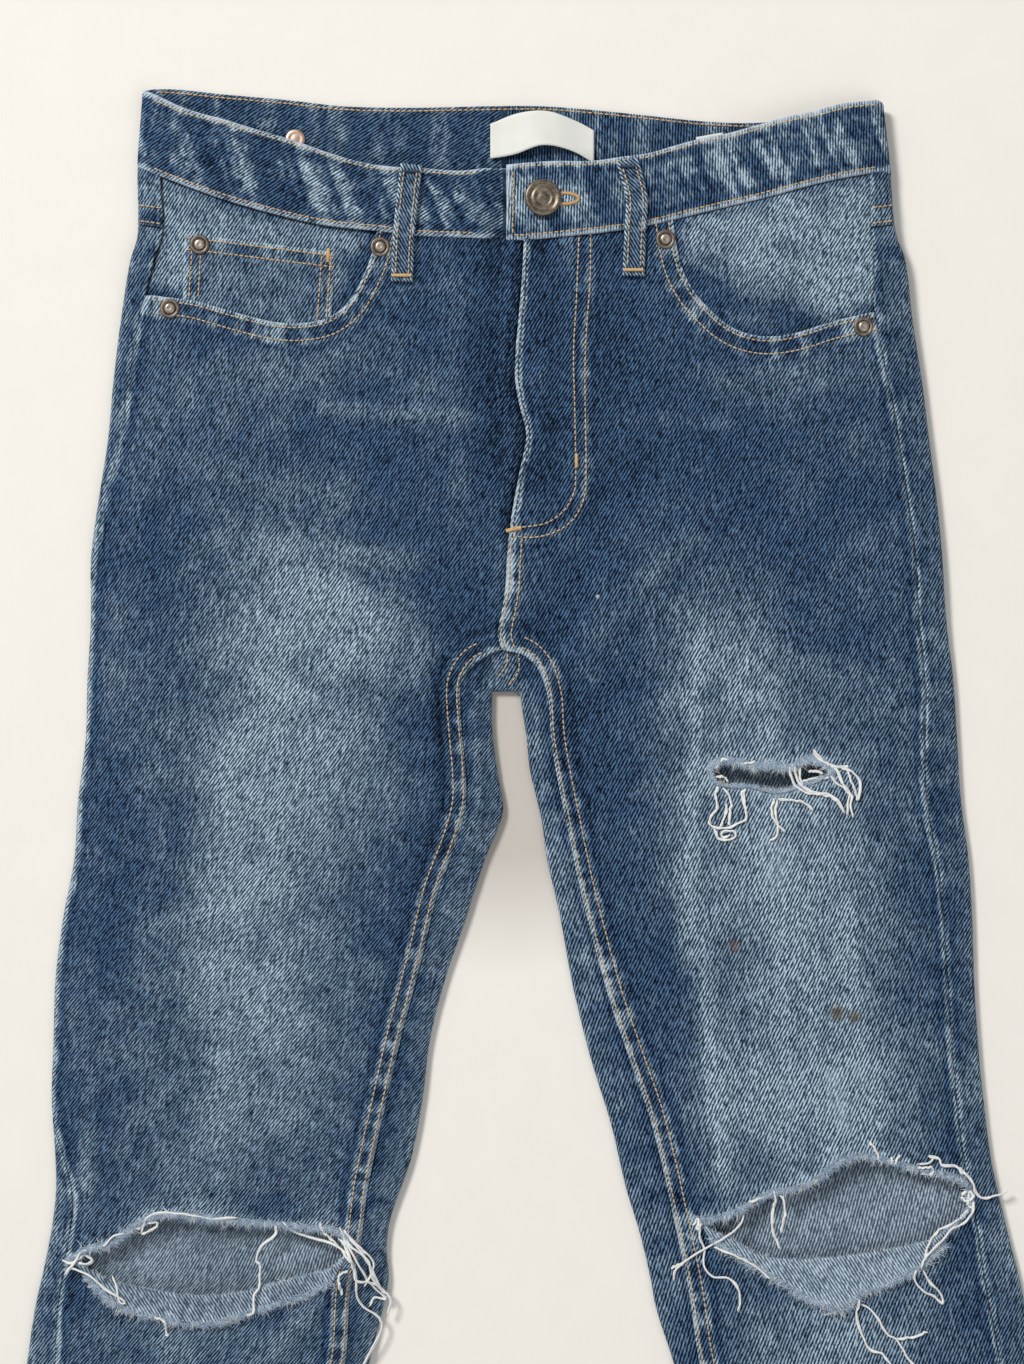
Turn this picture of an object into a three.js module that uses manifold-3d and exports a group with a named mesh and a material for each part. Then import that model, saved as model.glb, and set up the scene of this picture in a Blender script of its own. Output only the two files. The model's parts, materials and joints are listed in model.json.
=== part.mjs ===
// A pair of ripped five-pocket jeans, laid flat on their back with the front facing up.
// Millimetres, +Z up, +Y from the hems to the waist. "Right" and "left" are the wearer's, so right is -X.
// The cloth is a flattened tube. The back panels lie on the surface, turn round the side and
// inner-leg folds, and meet the front panels at seams that show on top.
import * as THREE from "three";
import Module from "manifold-3d";
import { mergeVertices } from "three/addons/utils/BufferGeometryUtils.js";

const wasm = await Module();
wasm.setup();

// ---- Driving dimensions ----
const CLOTH = 1.2; // washed denim, one layer
const BAND = 2.6; // waistband: outside, facing and turned edges
const GAP = 0.3; // between pieces that are sewn together
const WAIST_X = -18.5; // the waist's centre line, from the middle of the whole outline
const FORK_Y = 183; // the folded edge of the crotch
const YOKE_SIDE_Y = 428; // yoke seam at the side fold
const YOKE_BACK_Y = 396; // yoke seam at the centre back
const SEAT_LIFT = 1.5; // the seat and waist lie on the back pockets and back belt loops
const FOLD_LEG = 2.4; // outer radius of a folded edge on the legs
const FOLD_WAIST = 3.9; // the same at the waist, where there are more layers
const LOFT_SEAT = 13.5; // height of the loose cloth over the seat
const LOFT_KNEE = 11;
const LOFT_HEM = 9;
const RISE = 18; // how quickly the cloth climbs from a fold to its full height
const PARTING = 3; // the front panels are cut from the tube above this height
const HEM_DEPTH = 14;
const HEM_WALL = 2.3;
const HEM_SWELL = 0.8; // how much fuller the rolled hem is than the leg
const LOOP_WIDTH = 11.6;
const LOOP_WALL = 2.2;
const BACK_LAYER = 1.2; // the back pockets and back loops, pressed under the seat
const BUTTON_R = 9.7;
const BUTTON_SHANK_R = 2.4;
const RIVET_R = 5.3;
const LABEL_WALL = 0.8;
const LABEL_BOW = 4; // how far the loose middle of the waist label stands off the band
const RIVET_SEAT = 0.35; // rivets and tacks stand this far off the cloth
const LIP_HINGE = 1.6; // width of the cloth that turns over along a lip's fold
const STEP_LENGTH = 22; // where the waistband's hidden end starts to step down
const TONGUE_SET_IN = 1; // the hidden end is this much lower than the band, top and bottom

const DENIM = material(0x35557f, 0.92, 0);
const DENIM_DARK = material(0x2b466c, 0.92, 0);
const LABEL_CLOTH = material(0xe9ece8, 0.85, 0);
const AGED_METAL = material(0x8e7f70, 0.42, 0.85);
const COPPER = material(0xb59a86, 0.5, 0.7);

function material(color, roughness, metalness) {
  return new THREE.MeshStandardMaterial({ color, roughness, metalness });
}

// ---- Lines of the laid-out garment, as [y, x] from the waist's centre line ----
const OUTER_RIGHT = smooth([
  [520, -195], [500, -196], [457, -199], [423, -199], [409, -203], [378, -208], [346, -212],
  [314, -215], [282, -220], [251, -224], [219, -224], [187, -226], [155, -227], [123, -231],
  [92, -233], [60, -239], [28, -243], [-4, -244], [-36, -245], [-67, -243], [-88, -243],
  [-115, -247], [-147, -254], [-175, -258], [-240, -268], [-330, -280], [-430, -291], [-520, -299],
]);
const INNER_RIGHT = smooth([
  [183, -11], [162, -11], [137, -8], [119, -5], [108, -8], [94, -14], [76, -20], [60, -25],
  [28, -36], [-4, -44], [-36, -48], [-67, -54], [-99, -65], [-115, -67], [-131, -66],
  [-147, -69], [-175, -76], [-240, -90], [-330, -108], [-430, -127], [-520, -143],
]);
const OUTER_LEFT = smooth([
  [520, 195], [494, 196], [457, 200], [424, 203], [410, 208], [378, 212], [346, 217],
  [314, 221], [282, 225], [251, 228], [219, 230], [187, 234], [155, 236], [123, 238],
  [92, 242], [60, 244], [28, 245], [-4, 247], [-36, 250], [-67, 254], [-99, 261],
  [-131, 269], [-175, 278], [-240, 291], [-330, 309], [-430, 327], [-520, 342],
]);
const INNER_LEFT = smooth([
  [183, 3], [157, 7], [139, 9], [113, 15], [92, 18], [61, 25], [28, 31], [2, 37], [-20, 43],
  [-49, 52], [-83, 60], [-106, 67], [-131, 73], [-147, 76], [-175, 85], [-240, 104],
  [-330, 130], [-430, 160], [-520, 186],
]);
// The side seams, as cloth measured round the fold from its outermost line. Positive lies on
// top; zero or less is left at the fold itself.
const SIDE_SEAM_RIGHT = smooth([
  [520, 15], [450, 15], [423, 16], [393, 14], [378, 12], [346, 10], [314, 8], [282, 5],
  [251, 2], [219, 0], [-36, 0], [-67, 6], [-88, 11], [-115, 12], [-147, 14], [-175, 17],
  [-240, 18], [-520, 14],
]);
const SIDE_SEAM_LEFT = smooth([
  [520, 14], [450, 14], [424, 16], [394, 22], [378, 22], [346, 20], [314, 18], [282, 17],
  [251, 16], [187, 17], [155, 19], [123, 20], [60, 17], [28, 16], [-36, 16], [-99, 17],
  [-131, 20], [-175, 21], [-240, 21], [-520, 16],
]);
// The fly edge, from the waist seam to the crotch point, as [y, x].
const FLY = smooth([
  [425, 6], [401, 5], [388, 4], [367, 2], [348, 1], [334, 3], [317, 7], [303, 5], [289, 2],
  [272, -1], [254, -3], [236, -4], [223, -6], [211, -8], [203, -6],
]);

// ---- Lines of the laid-out garment, as [x, y] ----
// The inner-leg seams, from the crotch point round its short arc and past the hem.
const INSEAM_RIGHT = [
  [-6, 203], [-10, 203], [-16, 200], [-21, 197], [-26, 190], [-28, 182], [-27, 162],
  [-25, 140], [-25, 122], [-30, 103], [-40, 76], [-47, 47], [-54, 20], [-61, -7], [-67, -34],
  [-72, -56], [-77, -81], [-79, -97], [-81, -112], [-86, -134], [-89, -173], [-105, -240],
  [-123, -330], [-141, -430], [-158, -530],
];
const INSEAM_LEFT = [
  [-6, 203], [3, 203], [9, 200], [14, 194], [17, 186], [19, 177], [20, 160], [23, 140],
  [28, 115], [35, 81], [43, 49], [52, 17], [62, -12], [72, -41], [79, -68], [86, -100],
  [93, -134], [99, -173], [117, -240], [143, -330], [172, -430], [200, -530],
];
const BAND_TOP_FRONT = [
  [-210, 502], [-195, 498], [-175, 489], [-154, 483], [-134, 477], [-114, 471], [-93, 464],
  [-73, 459], [-46, 457], [-26, 456], [-4, 459], [20, 461], [42, 461], [57, 463], [72, 465],
  [86, 469], [101, 473], [116, 476], [131, 480], [146, 484], [161, 487], [176, 491],
  [196, 494], [210, 498],
];
const BAND_LOW_FRONT = [
  [-210, 460], [-198, 458], [-181, 451], [-154, 441], [-127, 433], [-100, 427], [-73, 424],
  [-49, 421], [-19, 420], [5, 419], [27, 421], [54, 424], [72, 427], [101, 434], [131, 441],
  [161, 449], [190, 455], [210, 458],
];
const BAND_TOP_BACK = [
  [-210, 499], [-188, 501], [-154, 498], [-120, 495], [-93, 492], [-60, 491], [12, 492],
  [42, 490], [72, 487], [101, 484], [131, 483], [160, 486], [196, 491], [210, 493],
];
const BAND_LOW_BACK = BAND_TOP_BACK.map(([x, y]) => [x, y - 38 - 2 * Math.cos(x / 130)]);
const OVERLAP_X = -3.5; // the buttoned end of the waistband
const TONGUE_END_X = 38; // the end hidden beneath it
// Pocket mouths, from the waist seam to the outer rivet.
const POCKET_MOUTH_RIGHT = [
  [-71, 440], [-72, 428], [-75, 410], [-79, 400], [-84, 390], [-91, 382], [-100, 377],
  [-114, 375], [-127, 376], [-147, 381], [-168, 387], [-183, 389], [-205, 391],
];
const POCKET_MOUTH_LEFT = [
  [83, 440], [84, 428], [87, 412], [90, 402], [96, 391], [103, 383], [112, 375], [122, 370],
  [134, 368], [149, 370], [168, 376], [185, 380], [210, 385],
];
const FACING_RIGHT = [
  [-62, 440], [-63, 400], [-75, 372], [-95, 358], [-130, 352], [-170, 358], [-205, 364],
];
const FACING_LEFT = [
  [73, 440], [75, 400], [87, 370], [105, 354], [135, 346], [170, 352], [210, 360],
];
const COIN_POCKET = [[-173.5, 423], [-93.5, 413], [-96.5, 366], [-135, 358], [-175, 372]];
const BACK_POCKET = [[67, 74], [-67, 74], [-61, -48], [0, -68], [61, -48]];
const BACK_POCKET_AT = { right: [-104, 312, -0.06], left: [100, 312, 0.06] };
const RIVETS = {
  rivet_pocket_right_inner: [-70, 415.5],
  rivet_pocket_right_outer: [-181, 383],
  rivet_coin_pocket: [-165.5, 417],
  rivet_pocket_left_inner: [80.5, 419.5],
  rivet_pocket_left_outer: [185, 373.5],
};
const FRONT_LOOPS = {
  belt_loop_front_right: [[-53.5, 458.5], [-55, 445], [-57.5, 420], [-58.5, 397]],
  belt_loop_front_left: [[60, 461], [65, 442], [64.5, 425], [63.5, 400]],
};
const BACK_LOOPS = {
  belt_loop_back_right: [-128, 488, -0.03],
  belt_loop_back_centre: [-2, 487, 0],
  belt_loop_back_left: [124, 478, 0.03],
};
const BACK_LOOP_LENGTH = 56;
const BUTTON_AT = [15.5, 441];
const BUTTON_LEAN = 0.14; // radians the button head tips toward the overlap's edge
const BUTTONHOLE_LENGTH = 21;
const INNER_TACK_AT = [-115.5, 474];
const SIZE_TAG = [[98, 467], [113, 470], [111.5, 477.5], [97, 475]];
const LABEL_TOP = [[-12, 482], [2, 487], [18, 488], [34, 483], [43, 478.5]];
const LABEL_LOW = [[-12, 463.5], [1, 465.5], [16, 470], [32, 467], [43, 461]];

// The tears: a closed outline in the front panel, whose lower side is the line the loose lip
// turns over, and the lip's own frayed edge.
const KNEE_FOLD_RIGHT = [
  [-88, -117], [-94, -124], [-104, -127], [-120, -131], [-137, -136], [-160, -139],
  [-185, -137], [-210, -132], [-223, -126],
];
const KNEE_LIP_RIGHT = [
  [-208, -144], [-185, -150], [-167, -153], [-149, -150], [-129, -144], [-109, -138], [-95, -130],
];
const KNEE_TEAR_RIGHT = [
  [-235, -121], [-226, -114], [-213, -111], [-202, -103], [-190, -96], [-167, -96], [-145, -99],
  [-124, -101], [-102, -103], [-93, -104], [-87, -110], ...KNEE_FOLD_RIGHT,
];
const KNEE_FOLD_LEFT = [
  [222, -111], [210, -113], [197, -115], [178, -118], [158, -120], [145, -120], [132, -118],
  [119, -111], [106, -105],
];
const KNEE_LIP_LEFT = [
  [106, -112], [125, -121], [140, -130], [152, -138], [163, -143], [174, -146], [181, -139],
  [194, -134], [207, -128], [214, -124],
];
const KNEE_TEAR_LEFT = [
  [96, -98], [106, -98], [122, -92], [136, -84], [148, -82], [160, -77], [172, -68], [184, -65],
  [197, -67], [215, -72], [236, -77], [242, -84], [240, -93], [223, -97], ...KNEE_FOLD_LEFT,
];
const THIGH_TEAR = [
  [104, 140], [110, 144], [118, 144], [137, 142], [147, 141], [155, 145], [165, 143], [169, 138],
  [163, 135], [152, 131], [133, 129], [124, 131], [114, 131], [106, 134],
];

// Heights at which the tube is sectioned.
const FORK_ROWS = [FORK_Y + 6, FORK_Y];
const HIP_ROWS = [
  520, 500, 480, 455, 428, 410, 385, 350, 314, 282, 251, 225, 204, ...FORK_ROWS,
];
const LEG_ROWS = [
  ...FORK_ROWS, 165, 140, 119, 94, 60, 28, -10, -50, -90, -115, -135, -175, -240, -310, -390,
  -475, -540,
];
const SHARES = [0, 0.08, 0.24, 0.5, 0.76, 0.92, 1];
const FOLD_STEPS = 3;

// ---- Curves and surfaces ----

// A function through [at, value] points, cubic between each pair and level past the ends.
function smooth(points) {
  const sorted = [...points].sort((a, b) => a[0] - b[0]);
  const last = sorted.length - 1;
  const slopes = sorted.map((_, i) => {
    const before = sorted[Math.max(i - 1, 0)];
    const after = sorted[Math.min(i + 1, last)];
    return (after[1] - before[1]) / (after[0] - before[0]);
  });
  return (at) => {
    const found = sorted.findIndex((p) => p[0] > at);
    const i = found < 0 ? last - 1 : Math.max(found - 1, 0);
    const [from, to] = [sorted[i], sorted[i + 1]];
    const width = to[0] - from[0];
    const t = THREE.MathUtils.clamp((at - from[0]) / width, 0, 1);
    const rest = 1 - t;
    const level = from[1] * (1 + 2 * t) * rest * rest + to[1] * (3 - 2 * t) * t * t;
    return level + width * t * rest * (slopes[i] * rest - slopes[i + 1] * t);
  };
}

const ease = THREE.MathUtils.smoothstep;
const mix = THREE.MathUtils.lerp;
const bandTopFront = smooth(BAND_TOP_FRONT);
const bandLowFront = smooth(BAND_LOW_FRONT);
const foldRadius = (y) => mix(FOLD_LEG, FOLD_WAIST, ease(y, 330, 430));
const seatLift = (y) => SEAT_LIFT * ease(y, 183, 232);

function loft(y) {
  if (y > 120) return mix(LOFT_KNEE, LOFT_SEAT, ease(y, 120, 330));
  return mix(LOFT_HEM, LOFT_KNEE, ease(y, -500, -200));
}

// How far inside the outline a point lies: from the side fold, and from the inner-leg folds.
function insets(x, y) {
  const side = x < WAIST_X / 4 ? x - OUTER_RIGHT(y) : OUTER_LEFT(y) - x;
  if (y < FORK_Y) {
    const middle = (INNER_RIGHT(y) + INNER_LEFT(y)) / 2;
    return [side, x < middle ? INNER_RIGHT(y) - x : x - INNER_LEFT(y)];
  }
  const besideFork = Math.max(0, INNER_RIGHT(FORK_Y) - x, x - INNER_LEFT(FORK_Y));
  return [side, Math.hypot(besideFork, y - FORK_Y)];
}

// The upper face of the front cloth: it climbs from each fold like 1 - exp(-distance / RISE).
function topFace(x, y) {
  const r = foldRadius(y);
  const edge = seatLift(y) + 2 * r;
  const [side, inner] = insets(x, y);
  const climb = (d) => 1 - Math.exp(-Math.max(d - r, 0) / RISE);
  return edge + (loft(y) - edge) * climb(side) * climb(inner);
}

const legSpan = (y, side) =>
  side === "right" ? [OUTER_RIGHT(y), INNER_RIGHT(y)] : [INNER_LEFT(y), OUTER_LEFT(y)];

// Sample positions across the loose top of one leg, between its two folds.
function topSamples(y, side) {
  const [from, to] = legSpan(y, side);
  const r = foldRadius(y);
  return SHARES.map((share) => mix(from + r, to - r, share));
}

// Samples across the hips: those of both legs, and the line of the fork between them.
function hipSamples(y) {
  const fork = (INNER_RIGHT(FORK_Y) + INNER_LEFT(FORK_Y)) / 2;
  return [...topSamples(y, "right"), fork, ...topSamples(y, "left")];
}

// ---- Solids ----

// A closed solid from matching loops of points, each loop a flat section.
function loftSolid(loops) {
  const count = loops[0].length;
  const positions = loops.flat().flatMap((p) => p.toArray());
  const index = [];
  for (let i = 0; i + 1 < loops.length; i++)
    for (let j = 0; j < count; j++) {
      const a = i * count + j;
      const b = i * count + ((j + 1) % count);
      index.push(a, b, b + count, a, b + count, a + count);
    }
  const cap = (loop, offset, flip) => {
    const outline = loop.map((p) => new THREE.Vector2(p.x, p.z));
    for (const [a, b, c] of THREE.ShapeUtils.triangulateShape(outline, []))
      index.push(...(flip ? [a, c, b] : [a, b, c]).map((k) => k + offset));
  };
  cap(loops[0], 0, true);
  cap(loops[loops.length - 1], (loops.length - 1) * count, false);
  const geometry = new THREE.BufferGeometry();
  geometry.setAttribute("position", new THREE.Float32BufferAttribute(positions, 3));
  geometry.setIndex(index);
  return solidOf(facingOut(geometry));
}

function facingOut(geometry) {
  const at = geometry.attributes.position;
  const index = geometry.index.array;
  const corner = [0, 1, 2].map(() => new THREE.Vector3());
  let volume = 0;
  for (let i = 0; i < index.length; i += 3) {
    corner.forEach((c, k) => c.fromBufferAttribute(at, index[i + k]));
    volume += corner[0].dot(corner[1].cross(corner[2]));
  }
  if (volume < 0)
    for (let i = 0; i < index.length; i += 3) {
      const kept = index[i + 1];
      index[i + 1] = index[i + 2];
      index[i + 2] = kept;
    }
  return geometry;
}

function solidOf(geometry) {
  const bare = geometry.clone();
  bare.deleteAttribute("normal");
  bare.deleteAttribute("uv");
  const merged = mergeVertices(bare, 1e-3);
  return new wasm.Manifold(
    new wasm.Mesh({
      numProp: 3,
      vertProperties: merged.attributes.position.array,
      triVerts: new Uint32Array(merged.index.array),
    }),
  );
}

function geometryOf(solid) {
  const { vertProperties, triVerts } = solid.getMesh();
  const geometry = new THREE.BufferGeometry();
  geometry.setAttribute("position", new THREE.Float32BufferAttribute(vertProperties, 3));
  geometry.setIndex(new THREE.BufferAttribute(triVerts, 1));
  geometry.computeVertexNormals();
  return geometry;
}

// A prism standing on a closed outline [x, y].
function prism(outline, low, high) {
  const shape = new THREE.Shape(outline.map(([x, y]) => new THREE.Vector2(x, y)));
  const solid = new THREE.ExtrudeGeometry(shape, { depth: high - low, bevelEnabled: false });
  return solidOf(solid.translate(0, 0, low));
}

// A closed outline with every corner moved out by the same distance.
function grown(outline, distance) {
  const turn = Math.sign(THREE.ShapeUtils.area(outline.map(([x, y]) => new THREE.Vector2(x, y))));
  const count = outline.length;
  return outline.map(([x, y], i) => {
    const [x0, y0] = outline[(i + count - 1) % count];
    const [x1, y1] = outline[(i + 1) % count];
    const along = new THREE.Vector2(x1 - x0, y1 - y0).normalize();
    return [x + turn * distance * along.y, y - turn * distance * along.x];
  });
}

// The space inside a flattened tube, moved in by `inset`, between given folds and sections.
function tube(rows, inset, spanAt, samplesAt, swell = 0) {
  const loops = rows.map((y) => {
    const [from, to] = spanAt(y);
    const r = foldRadius(y) + swell;
    const low = seatLift(y);
    const turn = (x, startAngle) => {
      const points = [];
      for (let i = 1; i < FOLD_STEPS; i++) {
        const angle = startAngle + (Math.PI * i) / FOLD_STEPS;
        points.push(at(x + (r - inset) * Math.cos(angle), low + r + (r - inset) * Math.sin(angle)));
      }
      return points;
    };
    const at = (x, z) => new THREE.Vector3(x, y, z);
    const [first, last] = [from - swell + r, to + swell - r];
    const top = samplesAt(y).map((x) => at(x, topFace(x, y) + 2 * swell - inset));
    return [
      at(first, low + inset),
      at(last, low + inset),
      ...turn(last, -Math.PI / 2),
      ...top.reverse(),
      ...turn(first, Math.PI / 2),
    ];
  });
  return loftSolid(loops);
}

const hipSpan = (y) => [OUTER_RIGHT(y), OUTER_LEFT(y)];

// Everything inside the garment's outer face (inset 0), or inside its inner face.
function garment(inset) {
  const hipRows = HIP_ROWS.map((y) => (y === FORK_Y ? y + inset : y));
  const hips = tube(hipRows, inset, hipSpan, hipSamples);
  const legs = ["right", "left"].map((side) =>
    tube(LEG_ROWS, inset, (y) => legSpan(y, side), (y) => topSamples(y, side)),
  );
  return hips.add(legs[0]).add(legs[1]);
}

// A layer of cloth that follows the front's upper face at some depth under it. A negative
// depth lies above it.
function layer(depth, thickness, rows = HIP_ROWS, samplesAt = hipSamples) {
  const loops = rows.map((y) => {
    const xs = samplesAt(y);
    const face = (d) => xs.map((x) => new THREE.Vector3(x, y, topFace(x, y) - d));
    return [...face(depth + thickness), ...face(depth).reverse()];
  });
  return loftSolid(loops);
}

// ---- Outlines cut from the tube ----

const everything = { low: -5, high: 60 };
const WAIST_END_Y = 500; // outlines run on past the waist seam, which cuts them all alike

function spaced(from, to, step) {
  const count = Math.max(1, Math.round(Math.abs(to - from) / step));
  return Array.from({ length: count + 1 }, (_, i) => mix(from, to, i / count));
}

// Where a side seam lies in plan.
function sideSeamX(side, y) {
  const [fold, seam, inward] =
    side === "right" ? [OUTER_RIGHT(y), SIDE_SEAM_RIGHT(y), 1] : [OUTER_LEFT(y), SIDE_SEAM_LEFT(y), -1];
  const r = foldRadius(y);
  const quarter = (Math.PI * r) / 2;
  if (seam < 1) return fold - inward * 6;
  if (seam < quarter) return fold + inward * r * (1 - Math.cos(seam / r));
  return fold + inward * (r + seam - quarter);
}

// The front panel of one side: waist seam, fly, crotch arc, inner-leg seam and side seam.
function frontOutline(side) {
  const inseam = side === "right" ? INSEAM_RIGHT : INSEAM_LEFT;
  const fly = spaced(WAIST_END_Y, 206, 22).map((y) => [FLY(y), y]);
  const outer = spaced(-530, WAIST_END_Y, 32).map((y) => [sideSeamX(side, y), y]);
  return [...fly, ...inseam, ...outer];
}

// The hem's lower edge as [x, y] at its two folds, run on past them at the same slope.
const HEM_EDGE = {
  right: [[-294, -478], [-138, -498]],
  left: [[334, -471], [176, -501]],
};
const HEM_RUN_ON = [0.5, 0.26];

function hemLine(side, rise) {
  const [outer, inner] = HEM_EDGE[side];
  const beyond = (from, to, share) => [
    to[0] + (to[0] - from[0]) * share,
    to[1] + (to[1] - from[1]) * share + rise,
  ];
  return [beyond(inner, outer, HEM_RUN_ON[0]), beyond(outer, inner, HEM_RUN_ON[1])];
}

// The leg's end between two distances above the hem line.
function hemBand(side, from, to) {
  const lower = hemLine(side, from);
  const upper = hemLine(side, to);
  return prism([lower[0], lower[1], upper[1], upper[0]], everything.low, everything.high);
}

const yokeLine = (shift) => [
  [-240, YOKE_SIDE_Y + 3 + shift], [-199, YOKE_SIDE_Y + shift], [-2, YOKE_BACK_Y + shift],
  [202, YOKE_SIDE_Y + shift], [240, YOKE_SIDE_Y + 3 + shift],
];
const centreBack = (shift) => [[-2 + shift, 540], [-2 + shift, 300], [-5 + shift, FORK_Y - 20]];

function halfOf(side, low, high) {
  const shift = side === "right" ? -GAP / 2 : GAP / 2;
  const far = side === "right" ? -420 : 460;
  const line = centreBack(shift);
  return prism([...line, [line[2][0], -560], [far, -560], [far, 540]], low, high);
}

// ---- The garment's pieces ----

const denimShell = garment(0).subtract(garment(CLOTH));
const legEnds = ["right", "left"].map((side) => hemBand(side, -90, HEM_DEPTH + GAP));
const bandLowEdge = BAND_LOW_FRONT.map(([x, y]) => [x, y - GAP / 2]);
const aboveWaistSeam = [...bandLowEdge, [260, 560], [-260, 560]];
const shell = denimShell
  .subtract(legEnds[0])
  .subtract(legEnds[1])
  .subtract(prism(aboveWaistSeam, PARTING, everything.high));
const fronts = { right: frontOutline("right"), left: frontOutline("left") };

// A turned-over lip of cloth on the front panel, joined to it along the fold.
function lip(side, fold, edge) {
  const rows = LEG_ROWS.filter((y) => y < -30 && y > -200);
  const samples = (y) => topSamples(y, side);
  const strip = [...fold, ...[...fold].reverse().map(([x, y]) => [x, y - LIP_HINGE])];
  const over = layer(-CLOTH - GAP, CLOTH, rows, samples);
  const hinge = layer(-CLOTH - GAP / 2, 2 * CLOTH, rows, samples);
  const flap = over.intersect(prism([...fold, ...edge], PARTING, everything.high));
  return flap.add(hinge.intersect(prism(strip, PARTING, everything.high)));
}

function frontPanel(side) {
  let panel = shell.intersect(prism(grown(fronts[side], -GAP / 2), PARTING, everything.high));
  const mouth = side === "right" ? POCKET_MOUTH_RIGHT : POCKET_MOUTH_LEFT;
  const far = mouth[mouth.length - 1][0];
  const mouthCut = [...mouth, [far, 540], [mouth[0][0], 540]];
  panel = panel.subtract(prism(mouthCut, PARTING - 1, everything.high));
  const tears = side === "right" ? [KNEE_TEAR_RIGHT] : [KNEE_TEAR_LEFT, THIGH_TEAR];
  for (const tear of tears) panel = panel.subtract(prism(tear, PARTING - 1, everything.high));
  const [fold, edge] =
    side === "right" ? [KNEE_FOLD_RIGHT, KNEE_LIP_RIGHT] : [KNEE_FOLD_LEFT, KNEE_LIP_LEFT];
  return panel.add(lip(side, fold, edge));
}

const backShell = shell
  .subtract(prism(grown(fronts.right, GAP / 2), PARTING - GAP, everything.high))
  .subtract(prism(grown(fronts.left, GAP / 2), PARTING - GAP, everything.high));
const yokeEdges = {
  below: [...yokeLine(-GAP / 2), [480, -560], [-440, -560]],
  above: [...yokeLine(GAP / 2), ...BAND_LOW_BACK.map(([x, y]) => [x, y - GAP / 2]).reverse()],
};
const belowYoke = prism(yokeEdges.below, everything.low, everything.high);
const aboveYoke = prism(yokeEdges.above, everything.low, everything.high);

function waistband() {
  const rows = HIP_ROWS.filter((y) => y > 400);
  const band = (inset) => tube(rows, inset, hipSpan, hipSamples);
  const whole = band(0).subtract(band(BAND));
  const middle = SEAT_LIFT + FOLD_WAIST;
  const raised = (line) => [...line].reverse().map(([x, y]) => [x, y + GAP / 2]);
  const front = [...BAND_TOP_FRONT, ...raised(BAND_LOW_FRONT)];
  const back = [...BAND_TOP_BACK, ...raised(BAND_LOW_BACK)];
  const upper = whole.intersect(prism(front, middle - 0.05, everything.high));
  const lower = whole.intersect(prism(back, everything.low, middle + 0.05));
  // The hidden end steps down and passes under the buttoned end.
  const stepX = OVERLAP_X - GAP;
  const across = (from, to) => [[from, 400], [from, 540], [to, 540], [to, 400]];
  const overlapCut = prism(across(stepX, OVERLAP_X), middle, everything.high);
  const tongueXs = spaced(stepX - STEP_LENGTH, TONGUE_END_X, 12);
  const tongueTop = tongueXs.map((x) => [x, bandTopFront(x) - TONGUE_SET_IN]);
  const tongueLow = tongueXs.map((x) => [x, bandLowFront(x) + TONGUE_SET_IN]);
  const tongue = prism([...tongueTop, ...tongueLow.reverse()], PARTING, everything.high);
  const under = layer(BAND + GAP, BAND).intersect(tongue);
  const joint = prism(across(stepX - STEP_LENGTH, stepX - 6), PARTING, everything.high);
  const join = layer(BAND - 0.6, 2).intersect(joint).intersect(tongue);
  return upper.subtract(overlapCut).subtract(buttonhole()).add(lower).add(under).add(join);
}

// A keyhole slit through the buttoned end only: wide at the button's shank, narrow beyond it.
function buttonhole() {
  const [x, y] = BUTTON_AT;
  const [from, to] = [x - 4, x - 4 + BUTTONHOLE_LENGTH];
  const slit = [[from, y - 2.9], [to, y - 1], [to, y + 1], [from, y + 2.9]];
  return layer(-2, BAND + 2 + GAP / 2).intersect(prism(slit, PARTING, everything.high));
}

function hem(side) {
  const span = (y) => legSpan(y, side);
  const rows = LEG_ROWS.filter((y) => y < -380);
  const samples = (y) => topSamples(y, side);
  const outer = tube(rows, 0, span, samples, HEM_SWELL);
  const inner = tube(rows, HEM_WALL, span, samples, HEM_SWELL);
  return outer.subtract(inner).intersect(hemBand(side, 0, HEM_DEPTH));
}

function facing(side) {
  const line = side === "right" ? FACING_RIGHT : FACING_LEFT;
  const seam = spaced(366, 448, 20).map((y) => [sideSeamX(side, y) + (side === "right" ? GAP : -GAP), y]);
  const xs = spaced(seam[seam.length - 1][0], line[0][0], 14);
  const waist = xs.map((x) => [x, bandLowFront(x) - GAP]);
  const depth = side === "right" ? 2 * (CLOTH + GAP) : CLOTH + GAP;
  const outline = [...line.slice(1, -1), ...seam, ...waist];
  return layer(depth, CLOTH).intersect(prism(outline, PARTING, everything.high));
}

function beltLoop(points) {
  const curve = smooth(points.map(([x, y]) => [y, x]));
  const ys = spaced(points[0][1], points[points.length - 1][1], 8);
  const edge = (shift) => ys.map((y) => [curve(y) + shift, y]);
  const outline = [...edge(-LOOP_WIDTH / 2), ...edge(LOOP_WIDTH / 2).reverse()];
  return layer(-LOOP_WALL - GAP, LOOP_WALL).intersect(prism(outline, PARTING, everything.high));
}

function turned([cx, cy, angle], outline) {
  return outline.map(([x, y]) => [
    cx + x * Math.cos(angle) - y * Math.sin(angle),
    cy + x * Math.sin(angle) + y * Math.cos(angle),
  ]);
}

function lathe(profile, segments = 40) {
  const geometry = new THREE.LatheGeometry(profile.map(([r, z]) => new THREE.Vector2(r, z)), segments);
  return geometry.rotateX(Math.PI / 2);
}

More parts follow.
